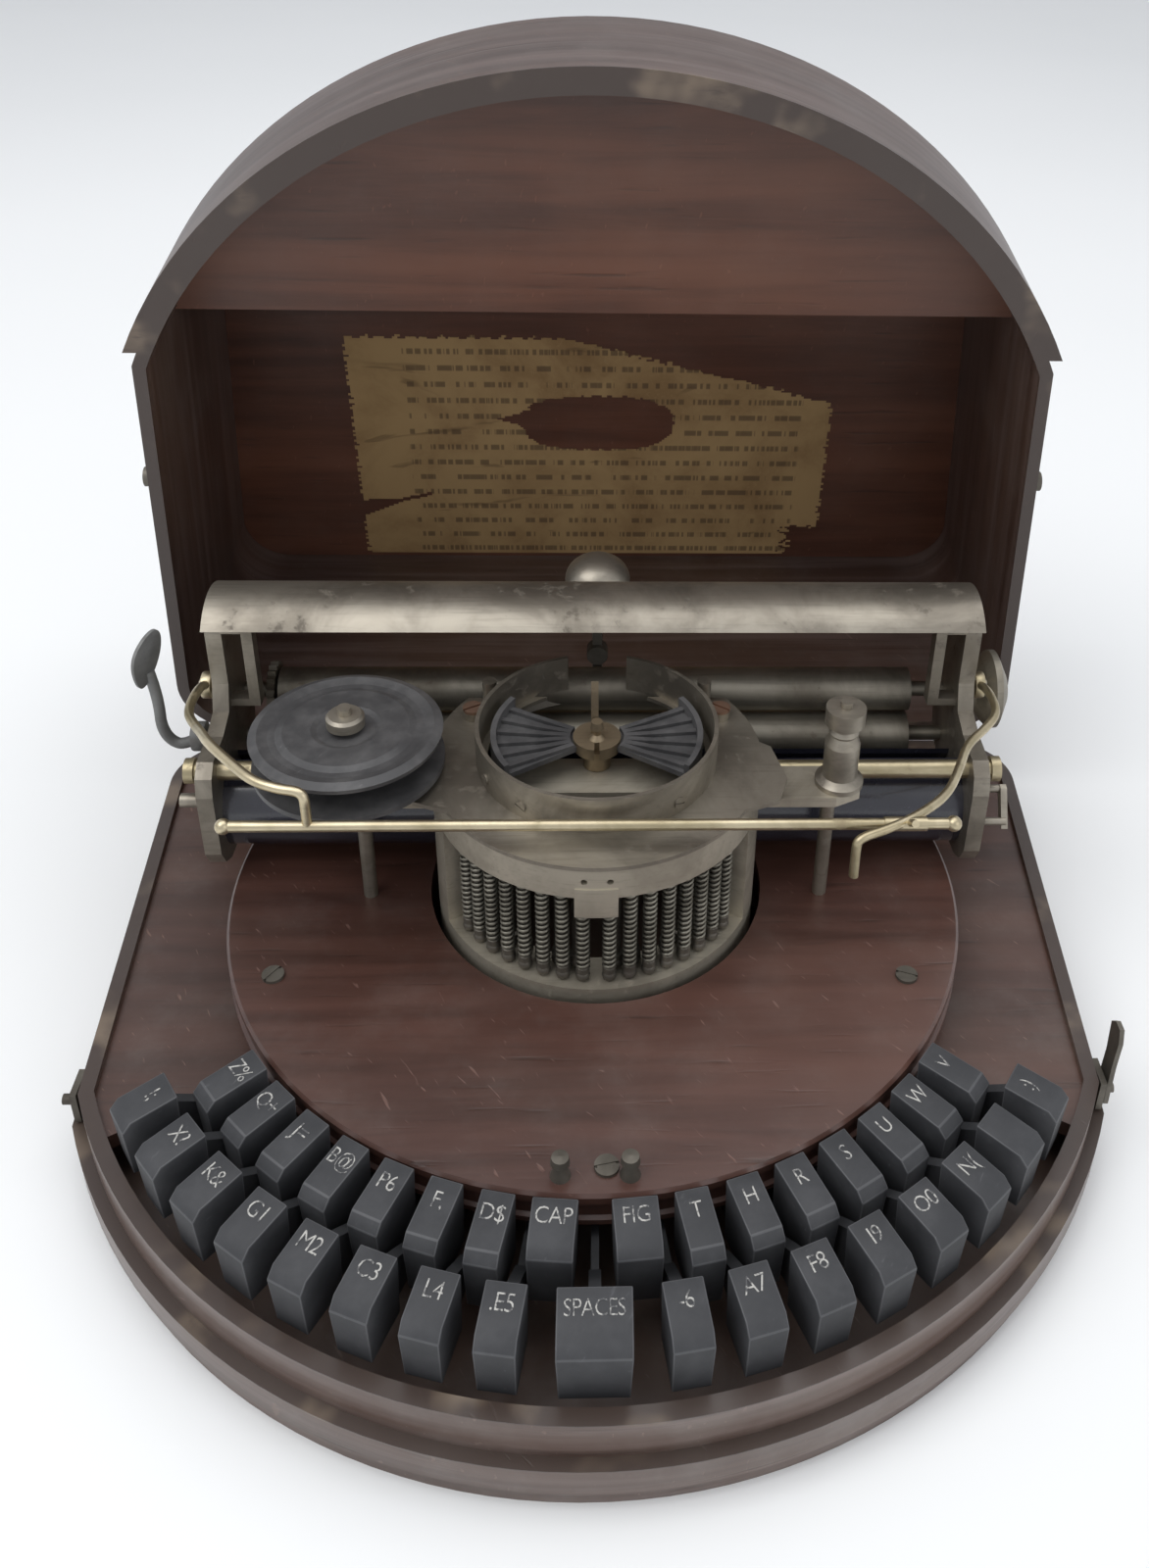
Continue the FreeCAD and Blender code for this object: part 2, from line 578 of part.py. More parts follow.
fans = []
half_fan = S("fan_angle") / 2
for i, mid in enumerate((-90, 90)):
    fans.append(sector("Fan%d" % i, S("fan_radius"), S("hub_radius"), hub_z + 1,
                       hub_z + 1 + S("fan_thick"), mid - half_fan, mid + half_fan))
    fans.append(sector("TypeStrip%d" % i, S("fan_radius"), S("fan_radius") - S("type_wall"),
                       S("type_bottom") + 3, S("type_top"), mid - half_fan, mid + half_fan))
    for k in range(6):
        turn = num(mid) - half_fan + 5 + (S("fan_angle") - 10) / 5 * k
        rib = bind(doc.addObject("Part::Box", "Rib%d_%d" % (i, k)),
                   Length=S("rib_width"), Width=S("fan_radius") - S("hub_radius") - 2.5,
                   Height=S("rib_tall"))
        start = S("hub_radius") + 1.0
        side = S("rib_width") / 2
        # the box runs outward along the radius at this angle
        x = start * sin(turn) + side * cos(turn)
        y = -start * cos(turn) + side * sin(turn)
        at(rib, x, y, hub_z + 1 + S("fan_thick") - 0.2, turn + 180)
        fans.append(rib)
node("type_sectors", fuse("TypeSectors", *fans))

# Ribbon spool on the left arm, bare post on the right, supports to the disc

spool_x, line = -S("arm_reach"), S("arm_line")
low, high, rim = S("spool_low"), S("spool_high"), S("spool_radius")
flange, core, bore = S("spool_flange"), S("spool_core"), S("spool_bore")
node("ribbon_spool", turned("RibbonSpool", [
    (bore, low), (rim, low), (rim, low + 2), (core, low + flange), (core, high - flange),
    (rim - 0.5, high - flange), (rim, high - 1.2), (rim - 3, high), (rim - 6.5, high - 0.9),
    (rim - 9, high - 0.9), (rim - 11.5, high), (core, high), (core - 2, high - 0.8),
    (bore, high - 0.8)], spool_x, line))
left_post = [
    rod("LeftPost", S("post_radius"), high + 4 - S("arm_top"), spool_x, line, S("arm_top")),
    rod("LeftCollar", 8.0, low - 0.5 - S("arm_top"), spool_x, line, S("arm_top")),
    turned("LeftNut", [(0, 0), (S("nut_radius"), 0), (S("nut_radius"), 3.4), (5.6, 4.4),
                       (2.4, 4.6), (2.4, 7.2), (0, 7.2)], spool_x, line, high + 1.1)]
right_post = turned("RightPost", [
    (0, 0), (8.6, 0), (8.6, 2.0), (6.2, 4.0), (6.2, 17.5), (4.8, 21.4), (5.3, 22.4), (4.6, 24.0),
    (4.6, 26.0), (7.0, 26.2), (7.0, 32.5), (2.2, 32.8), (2.2, 35.2), (0, 35.2)], S("arm_reach"), line, S("arm_top"))
supports = [rod("Support%d" % i, S("stem_radius"), S("arm_bottom") - top,
                S("arm_reach") * s - 3 * s, line, top) for i, s in enumerate((-1, 1))]
node("spool_posts", fuse("SpoolPosts", right_post, *(left_post + supports)))

# Carriage: end plates, rail, cover, basket, rollers

end_in, end_t = S("end_inner"), S("end_thick")
end_points = [(-3, 94), (-3, 68), (1, 61), (8, 57.2), (18, 56.2), (30, 58), (38, 66), (44, 73),
              (60, 76), (64, 88), (66, 104), (63, S("end_top") - 8), (57, S("end_top")),
              (37, S("end_top")), (34, S("end_top") - 6), (34, 118),
              (30, 108), (19, 105), (4, 105), (-1, 101)]
axle_hole = S("axle_radius") + S("run_gap")
press_y, press_z = S("feed_y") - S("press_back"), S("feed_z") - S("press_drop")
ends = []
for i, s in enumerate((-1, 1)):
    mid = (end_in + end_t / 2) * s
    ends.append(slab("EndPlate%d" % i, end_points, end_t / 2, mid))
    ends.append(box("InnerBar%d" % i, (end_in - 9) * s - 2, (end_in - 9) * s + 2, 34, 40, 108,
                    S("end_top") - 4))
    lo, hi = ((end_in - 11, end_in + 1) if s > 0 else (-end_in - 1, 11 - end_in))
    ends.append(box("InnerTie%d" % i, lo, hi, 34, 40, S("end_top") - 6, S("end_top")))
    ends.append(box("InnerFoot%d" % i, lo, hi, 34, 40, 108, 111))
ways = [rod("FeedWay", axle_hole, FAR, -S("rim_radius"), S("feed_y"), S("feed_z"), "x"),
        rod("PressWay", axle_hole, FAR, -S("rim_radius"), press_y, press_z, "x"),
        rod("RailHole", S("rail_radius"), FAR, -S("rim_radius"), S("rail_y"), S("rail_z"), "x")]
bail_stubs = [rod("BailStub%d" % i, S("bail_pin"), 7.5, x, S("bail_pivot_y"), S("bail_pivot_z"), "x")
              for i, x in enumerate((-end_in - end_t - 7.0, end_in + end_t - 0.5))]
bail_stubs.append(rod("LeverStub", S("lever_pin"), 6.6, -end_in - end_t - 6.1, S("lever_y"),
                      S("lever_z"), "x"))
staple_x = end_in + end_t - 0.5
staple = [rod("StapleLeg%d" % i, 1.5, 10, staple_x, y, z, "x")
          for i, (y, z) in enumerate(((10.0, 87.0), (2.0, 78.0)))]
staple_bar = slab("StapleBar", [(0, 76), (4.5, 76), (12.5, 87), (10, 89), (8, 88.5)], 1.2,
                  staple_x + 9.5)
side_pin = rod("SidePin", 2.6, 9, -end_in - end_t - 8.5, 6, 86, "x")
ends_cut = cut("EndsCut", fuse("EndsFused", *ends), *ways)
node("carriage_ends", fuse("CarriageEnds", ends_cut, *(bail_stubs + staple)
                           + [staple_bar, side_pin]))

rail = rod("Rail", S("rail_radius"), S("rail_half") * 2, -S("rail_half"), S("rail_y"),
           S("rail_z"), "x")
caps = [rod("RailCap%d" % i, S("rail_radius") + 1.2, 3.5, x, S("rail_y"), S("rail_z"), "x")
        for i, x in enumerate((-S("rail_half"), S("rail_half") - 3.5))]
node("carriage_rail", fuse("CarriageRail", rail, *caps))

shell = tube("CoverTube", S("cover_radius"), S("cover_radius") - S("cover_wall"),
             (end_in + end_t) * 2, -end_in - end_t, S("cover_y"), S("cover_z"), "x")
keep = box("CoverKeep", -FAR, FAR, 0, 100, S("cover_edge"), 200)
seats = [box("CoverSeat%d" % i, (end_in if s > 0 else -end_in - end_t),
             (end_in + end_t if s > 0 else -end_in), S("cover_y") - 12, S("cover_y") + 12,
             S("end_top"), S("cover_z") + S("cover_radius") - S("cover_wall") * 2.5)
         for i, s in enumerate((-1, 1))]
node("cover_bar", fuse("CoverBar", common("CoverShell", shell, keep), *seats))

basket = tube("BasketTube", S("basket_radius"), S("basket_radius") - S("basket_wall"),
              end_in * 2, -end_in, S("basket_y"), S("basket_z"), "x")
slot = box("BasketSlot", -end_in - 1, end_in + 1, S("basket_y"), S("basket_y") + 12,
           S("basket_z"), S("basket_z") + 40)
node("paper_basket", cut("PaperBasket", basket, slot))

feed_in = end_in - 14
feed = [rod("FeedBody", S("feed_radius"), feed_in * 2, -feed_in, S("feed_y"), S("feed_z"), "x"),
        rod("FeedAxle", S("axle_radius"), end_in * 2 + 26, -end_in - 9, S("feed_y"),
            S("feed_z"), "x")]
knob = turned("Knob", [(0, 0), (7.0, 0), (8.2, 3.0), (12.5, 6.0), (S("knob_radius"), 9.0),
                       (S("knob_radius"), 11.5), (12.5, 13.0), (7.0, 15.5), (0, 16.5)],
              end_in + end_t + 3.2, S("feed_y"), S("feed_z"), 90, (0, 1, 0))
feed.append(knob)
teeth = 20
ratchet = doc.addObject("PartDesign::Body", "Ratchet")
ring_points = []
for i in range(teeth):
    a = 360.0 / teeth * i
    ring_points.append((S("ratchet_radius") * cos(a), S("ratchet_radius") * sin(a)))
    ring_points.append(((S("ratchet_radius") - 1.8) * cos(a + 5), (S("ratchet_radius") - 1.8) * sin(a + 5)))
pad(ratchet, outline(sketch_on(ratchet, "RatchetTeeth", "YZ_Plane"), ring_points), 3.0,
    name="RatchetPad")
feed.append(at(ratchet, -feed_in - 4, S("feed_y"), S("feed_z")))
node("feed_roller", fuse("FeedRoller", *feed))
press = [rod("PressBody", S("press_radius"), feed_in * 2, -feed_in, press_y, press_z, "x"),
         rod("PressAxle", S("axle_radius"), (end_in + end_t) * 2, -end_in - end_t, press_y,
             press_z, "x")]
node("pressure_roller", fuse("PressureRoller", *press))


def bent_rod(points, radius, chords=3):
    """A bent wire: each bend is a tangent arc, drawn with a few flat chords."""
    pts = [Vector(*p) for p in points]
    route = [pts[0]]
    for a, b, c in zip(pts, pts[1:], pts[2:]):
        u, v = (a - b).normalize(), (c - b).normalize()
        turn = math.pi - u.getAngle(v)
        cut_back = 0.45 * min((a - b).Length, (c - b).Length)
        mid_dir = (u + v).normalize()
        r = cut_back / math.tan(turn / 2)
        centre = b + mid_dir * (r / math.cos(turn / 2))
        arc = Part.Arc(b + u * cut_back, centre - mid_dir * r, b + v * cut_back).toShape()
        route += arc.discretize(chords + 1)
    route.append(pts[-1])
    direction = (pts[1] - pts[0]).normalize()
    side = direction.cross(Vector(0, 0, 1)).normalize() * radius
    over = direction.cross(side).normalize() * radius
    turns = [2 * math.pi * k / 8 for k in range(9)]
    section = Part.makePolygon([pts[0] + side * math.cos(t) + over * math.sin(t) for t in turns])
    return Part.makePolygon(route).makePipeShell([section], True, False, 1)


# Paper bail: a rod across the turret on two curved arms that pivot on the end plates

bx, by, bz = VALUES["end_inner"] + VALUES["end_thick"] + 4, VALUES["bail_pivot_y"], VALUES["bail_pivot_z"]
fy, fz, br = VALUES["bail_y"], VALUES["bail_z"], VALUES["bail_radius"]
left_x = VALUES["bail_left"] + 27
left_arm = bent_rod([(-bx, by, bz), (-bx, by - 18, bz + 13), (-bx, by - 46, bz + 12),
                             (-bx + 14, by - 70, bz + 13), (left_x - 12, fy - 1, fz + 14),
                             (left_x, fy, fz + 9), (left_x, fy, fz)], 1.8)
right_x = VALUES["bail_right"] - 21
right_arm = bent_rod([(bx, by, bz), (bx, by - 18, bz + 13), (bx - 1, by - 46, bz + 13),
                               (bx - 14, by - 70, bz + 10), (right_x + 10, fy - 5, fz + 5),
                               (right_x - 8, fy - 6, fz + 2), (right_x - 12, fy - 6, fz - 10),
                               (right_x - 12, fy - 6, fz - 15)], 1.8)
eyes = []
for s in (-1, 1):
    eye = Part.makeCylinder(5.0, 4.0, Vector(s * bx - 2, by, bz), Vector(1, 0, 0))
    eyes.append(eye)
cross = Part.makeCylinder(br, VALUES["bail_right"] - VALUES["bail_left"],
                          Vector(VALUES["bail_left"], fy, fz), Vector(1, 0, 0))
tips = [Part.makeCylinder(br + 0.9, 4.0, Vector(x, fy, fz), Vector(1, 0, 0))
        for x in (VALUES["bail_left"] - 2, VALUES["bail_right"] - 2)]
sleeve = Part.makeCylinder(br + 0.5, 14, Vector(right_x - 2, fy, fz), Vector(1, 0, 0))
tie = Part.makeCylinder(1.2, 6.5, Vector(right_x + 6, fy, fz), Vector(0.15, -0.75, 0.62))
whole = cross.multiFuse([left_arm, right_arm, sleeve, tie] + tips + eyes)
pivot = [Part.makeCylinder(VALUES["bail_pin"] + VALUES["run_gap"], 12, Vector(s * bx - 6, by, bz),
                           Vector(1, 0, 0)) for s in (-1, 1)]
bail = doc.addObject("Part::Feature", "PaperBail")
bail.Shape = whole.cut(Part.makeCompound(pivot))
node("paper_bail", bail)

# Return lever: a leaf-shaped paddle on a bent stem at the left end plate

lx = -(VALUES["end_inner"] + VALUES["end_thick"])
ly, lz = VALUES["lever_y"], VALUES["lever_z"]
stem = bent_rod([(lx - 4.0, ly, lz), (lx - 12, ly - 2, lz - 2), (lx - 18, ly - 6, lz + 4),
                          (lx - 19, ly - 6, lz + 16), (lx - 21.4, ly - 5, lz + 26)], 2.0)
paddle = Part.makeCylinder(7.5, 2.4, Vector(lx - 22.8, ly - 5, lz + 33), Vector(1, 0, 0.18))
hub = Part.makeCylinder(5.5, 5.4, Vector(lx - 5.7, ly, lz), Vector(1, 0, 0))
hub_bore = Part.makeCylinder(VALUES["lever_pin"] + VALUES["run_gap"], 9.0,
                             Vector(lx - 7.5, ly, lz), Vector(1, 0, 0))
lever = doc.addObject("Part::Feature", "ReturnLever")
lever.Shape = stem.multiFuse([paddle, hub]).cut(hub_bore)
node("return_lever", lever)

# Bell and hammer behind the carriage

hammer_y, hammer_z = S("hammer_y"), S("hammer_z")
bracket = [box("Cheek%d" % i, x, x + 2.5, hammer_y - 6, hammer_y + 6, S("disc_top"), hammer_z + 6)
           for i, x in enumerate((-6.5, 4.0))]
bracket.append(rod("HammerPin", 1.8, 13, -6.5, hammer_y, hammer_z, "x"))
bell = turned("Bell", [
    (0, 0), (1.6, 0), (1.6, -3), (S("bell_radius") - 5.5, -3.6), (S("bell_radius") - 1.5, -7.5),
    (S("bell_radius"), -13.5), (S("bell_radius") - 1.2, -13.5), (S("bell_radius") - 3, -8.3),
    (S("bell_radius") - 7, -5.2), (2.2, -5.2), (0, -5.2)], 0, S("bell_y"), S("bell_top"))
bell_post = rod("BellPost", 2.2, S("bell_top") - 4 - S("disc_top"), 0, S("bell_y"), S("disc_top"))
node("bell", fuse("BellWhole", bell, bell_post, *bracket))
head_y = S("hammer_head_y")
node("hammer", cut("Hammer", fuse(
    "HammerWhole",
    slab("HammerArm", [(hammer_y - 4.5, hammer_z - 4), (hammer_y + 4, hammer_z - 4),
                       (hammer_y + 3, S("hammer_tall")), (head_y - 2, S("hammer_tall")),
                       (head_y - 2, S("hammer_tall") - 10), (head_y + 2, S("hammer_tall") - 10),
                       (head_y + 2, S("hammer_tall") - 4), (hammer_y - 3, S("hammer_tall") - 4)], 1.8),
    rod("HammerHead", 4.0, 6.0, 0, head_y - 4, S("hammer_tall") - 12, "y")),
    rod("HammerBore", 1.8 + VALUES["run_gap"], 10, -5, hammer_y, hammer_z, "x")))

# Small fittings of the base: screws, studs, side plates, fixed hinge leaves

screws = [turned("DiscScrew%d" % i, [(0, 0), (3.6, 0), (2.9, 0.9), (0, 0.9)], x, y, top)
          for i, (x, y) in enumerate(((-110.8, -47.9), (107.9, -50.4), (3.4, -124.5)))]
for i, x in enumerate((-10.4, 10.4)):
    screws.append(turned("Stud%d" % i, [(0, 0), (3.2, 0), (1.6, 4.6), (3.0, 5.8), (2.6, 8.2),
                                        (0, 8.6)], x, -127.0, top))

hy, hz = S("hinge_y"), S("hinge_z")
leaf_t = hy - S("rear_edge") - S("hinge_pin") - 0.4
fixed = []
for i, x in enumerate((-95, 95)):
    fixed.append(box("FixedLeaf%d" % i, x - 18, x + 18, S("rear_edge"), S("rear_edge") + leaf_t,
                     hz - 13, hz - S("hinge_pin") - 1.6))
    fixed.append(box("FixedWeb%d" % i, x - 6, x + 6, S("rear_edge"), hy, hz - 4.6,
                     hz - 0.6))
    fixed.append(rod("FixedKnuckle%d" % i, S("hinge_pin") + 1.2, 12, x - 6, hy, hz, "x"))
    fixed.append(rod("HingePin%d" % i, S("hinge_pin"), 36, x - 18, hy, hz, "x"))

hasp_y = S("hasp_y")
side_x = side_at(hasp_y + 5.5)
side_plates = []
for i, s in enumerate((-1, 1)):
    lo, hi = ((side_x, side_x + 2.2) if s > 0 else (-side_x - 2.2, -side_x))
    side_plates.append(box("SidePlate%d" % i, lo, hi, hasp_y - 5.5, hasp_y + 5.5, 20, 32.5))
    pin_x = side_x + 1 if s > 0 else -side_x - 7
    side_plates.append(rod("PlatePin%d" % i, 1.8, 6, pin_x, hasp_y, 24.5, "x"))
node("base_fittings", fuse("BaseFittings", *(screws + fixed + side_plates)))
strap = slab("Strap", [(hasp_y - 4, 21), (hasp_y + 4, 21), (hasp_y + 4, 28), (hasp_y + 3.4, 40),
                       (hasp_y + 4.5, 52), (hasp_y + 1.5, 55), (hasp_y - 2.5, 55),
                       (hasp_y - 4.0, 50), (hasp_y - 3.4, 38)], 0.8, side_x + 4.0)
node("latch_hasp", cut("LatchHasp", strap, rod("HaspBore", 1.8 + VALUES["run_gap"], 10,
                                                side_x, hasp_y, 24.5, "x")))

# Lid: modelled closed with its hinge line at the origin, then set open

gap, lid_low, lid_deep, board = S("lid_gap"), S("lid_low"), S("lid_deep"), S("lid_board")
step = S("lid_step")
zero = S("rim_top") + gap


def lid_place(obj):
    """Turns a closed lid piece about the hinge line into its open rest pose."""
    angle = S("lid_angle")
    y = hy - (hy * cos(angle) + hz * sin(angle))
    z = hz - (hz * cos(angle) - hy * sin(angle))
    return at(obj, 0, y, z, -angle, (1, 0, 0))


rear_zone = box("LidRearZone", -FAR, FAR, step, FAR, zero - 1, zero + lid_deep + 1)
front_zone = box("LidFrontZone", -FAR, FAR, -FAR, step + 6, zero - 1, zero + lid_deep + 1)
rear_wall = common("LidRearWall", case_ring("LidDeepRing", 0, -WALL, zero, zero + lid_deep), rear_zone)
front_wall = common("LidFrontWall", case_ring("LidLowRing", 0, -WALL, zero, zero + lid_low),
                    front_zone)
front_only = box("LidLapZone", -FAR, FAR, -FAR, step, zero - 1, zero + lid_deep + 1)
lap = common("LidLap", case_ring("LidLapRing", S("lid_lap"), 0, zero, zero + lid_low), front_only)
node("lid_band", lid_place(fuse("LidBand", rear_wall, front_wall, lap)))

deep_board = common("LidTopBoard", case_block("LidTopWhole", -WALL, zero + lid_deep - board,
                                              zero + lid_deep),
                    box("LidTopZone", -FAR, FAR, step, FAR, zero, zero + lid_deep + 1))
low_board = common("LidLowBoard", case_block("LidLowWhole", -WALL, zero + lid_low - board,
                                             zero + lid_low),
                   box("LidLowZone", -FAR, FAR, -FAR, step + board, zero, zero + lid_deep + 1))
riser = common("LidRiser", case_block("LidRiserWhole", -WALL, zero + lid_low - board,
                                      zero + lid_deep - board),
               box("LidRiserZone", -FAR, FAR, step, step + board, zero, zero + lid_deep + 1))
node("lid_boards", lid_place(fuse("LidBoards", deep_board, low_board, riser)))

moving = []
for i, x in enumerate((-95, 95)):
    moving.append(box("LidLeaf%d" % i, x - 18, x + 18, S("rear_edge"), S("rear_edge") + leaf_t,
                      zero + 2.6, zero + 16))
    for j, (a, b) in enumerate(((x - 18, x - 6.3), (x + 6.3, x + 18))):
        moving.append(box("LidWeb%d%d" % (i, j), a, b, S("rear_edge"), hy, hz + 2.4, zero + 6))
        moving.append(rod("LidKnuckle%d%d" % (i, j), S("hinge_pin") + 1.2, b - a, a, hy, hz, "x"))
bores = [rod("LidBore%d" % i, S("hinge_pin") + S("run_gap"), 40, x - 20, hy, hz, "x")
         for i, x in enumerate((-95, 95))]
stud_x = side_at(-16)
moving += [rod("LidStud%d" % i, 4.0, 5.0, a, -20, zero + 14, "x")
           for i, a in enumerate((-stud_x - 5, stud_x))]
node("lid_hardware", lid_place(cut("LidHardware", fuse("LidHardwareWhole", *moving), *bores)))

doc.recompute()

failed = [o.Name for o in doc.Objects if "Invalid" in o.State or "Error" in o.State]
for name, obj in NODES.items():
    if obj.Shape.isNull() or not obj.Shape.isValid():
        failed.append(name)
if failed:
    raise SystemExit("not built: " + ", ".join(failed))
os.makedirs("parts", exist_ok=True)
for name, obj in NODES.items():
    obj.Shape.exportStep(os.path.join("parts", name + ".step"))
print(len(NODES), "nodes", doc.Name)
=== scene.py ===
"""A keyboard typewriter with a round pin turret in an open bentwood case.

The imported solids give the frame. This script dresses them, replaces the keys, pins, wires and
lever with finer pieces, and sets the floor, the light and the camera. Metres, +Z up.
"""

import json
import logging
import math
from dataclasses import dataclass, field
from enum import Enum
from typing import Any, Callable, Iterable, Sequence

import bmesh
import bpy
from mathutils import Matrix, Vector

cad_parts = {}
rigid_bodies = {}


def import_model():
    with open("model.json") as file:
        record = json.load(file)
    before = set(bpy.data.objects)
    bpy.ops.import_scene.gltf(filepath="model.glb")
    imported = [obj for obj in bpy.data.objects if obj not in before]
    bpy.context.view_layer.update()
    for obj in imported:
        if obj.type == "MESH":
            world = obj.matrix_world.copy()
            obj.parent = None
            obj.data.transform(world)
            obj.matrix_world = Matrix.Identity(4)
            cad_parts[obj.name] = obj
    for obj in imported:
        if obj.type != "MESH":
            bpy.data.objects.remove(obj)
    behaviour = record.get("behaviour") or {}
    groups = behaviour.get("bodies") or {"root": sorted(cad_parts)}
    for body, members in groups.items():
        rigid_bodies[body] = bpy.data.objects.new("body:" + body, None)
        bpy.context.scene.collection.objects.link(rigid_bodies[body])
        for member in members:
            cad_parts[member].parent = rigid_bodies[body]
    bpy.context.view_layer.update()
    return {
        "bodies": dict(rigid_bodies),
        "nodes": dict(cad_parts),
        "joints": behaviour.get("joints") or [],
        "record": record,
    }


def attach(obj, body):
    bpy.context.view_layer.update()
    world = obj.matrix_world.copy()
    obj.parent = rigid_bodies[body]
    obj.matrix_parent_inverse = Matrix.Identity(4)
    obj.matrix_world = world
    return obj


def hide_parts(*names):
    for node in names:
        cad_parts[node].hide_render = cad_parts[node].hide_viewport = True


LOG = logging.getLogger("typewriter")

Colour = tuple[float, float, float]
Point = tuple[float, float, float]

QUARTER = math.radians(90)
HINGE: Point = (0.0, 0.1135, 0.0334)
LID_OPEN = 81.0


# Shader language


class Val:
    """A socket that takes part in Python sums, each sum adding its Math node."""

    def __init__(self, tree: bpy.types.NodeTree, socket: bpy.types.NodeSocket) -> None:
        """Wraps a socket of a tree."""
        self.tree = tree
        self.socket = socket

    def math(self, operation: str, *others: Any, swap: bool = False) -> "Val":
        """Adds a Math node.

        Args:
            operation: the node's operation.
            others: the other operands, numbers or sockets.
            swap: True where this socket is the second operand.

        Returns:
            The node's value.
        """
        node = self.tree.nodes.new("ShaderNodeMath")
        node.operation = operation
        operands = [self, *others]
        if swap:
            operands = [others[0], self]
        for slot, operand in zip(node.inputs, operands):
            if isinstance(operand, Val):
                self.tree.links.new(operand.socket, slot)
            else:
                slot.default_value = float(operand)
        return Val(self.tree, node.outputs[0])

    def __add__(self, other: Any) -> "Val":
        """Sum."""
        return self.math("ADD", other)

    __radd__ = __add__

    def __mul__(self, other: Any) -> "Val":
        """Product."""
        return self.math("MULTIPLY", other)

    __rmul__ = __mul__

    def __sub__(self, other: Any) -> "Val":
        """Difference."""
        return self.math("SUBTRACT", other)

    def __rsub__(self, other: Any) -> "Val":
        """Difference from a number."""
        return self.math("SUBTRACT", other, swap=True)

    def __truediv__(self, other: Any) -> "Val":
        """Quotient."""
        return self.math("DIVIDE", other)

    def over(self, low: float, high: float) -> "Val":
        """A soft step from 0 at low to 1 at high, or the other way round where low is larger.

        Args:
            low: where the step is 0.
            high: where the step is 1.

        Returns:
            The step.
        """
        node = self.tree.nodes.new("ShaderNodeMapRange")
        node.interpolation_type = "SMOOTHSTEP"
        turned = low > high
        edges = (high, low) if turned else (low, high)
        for name, value in zip(("From Min", "From Max"), edges):
            node.inputs[name].default_value = value
        node.inputs["To Min"].default_value = 1.0 if turned else 0.0
        node.inputs["To Max"].default_value = 0.0 if turned else 1.0
        self.tree.links.new(self.socket, node.inputs["Value"])
        return Val(self.tree, node.outputs["Result"])


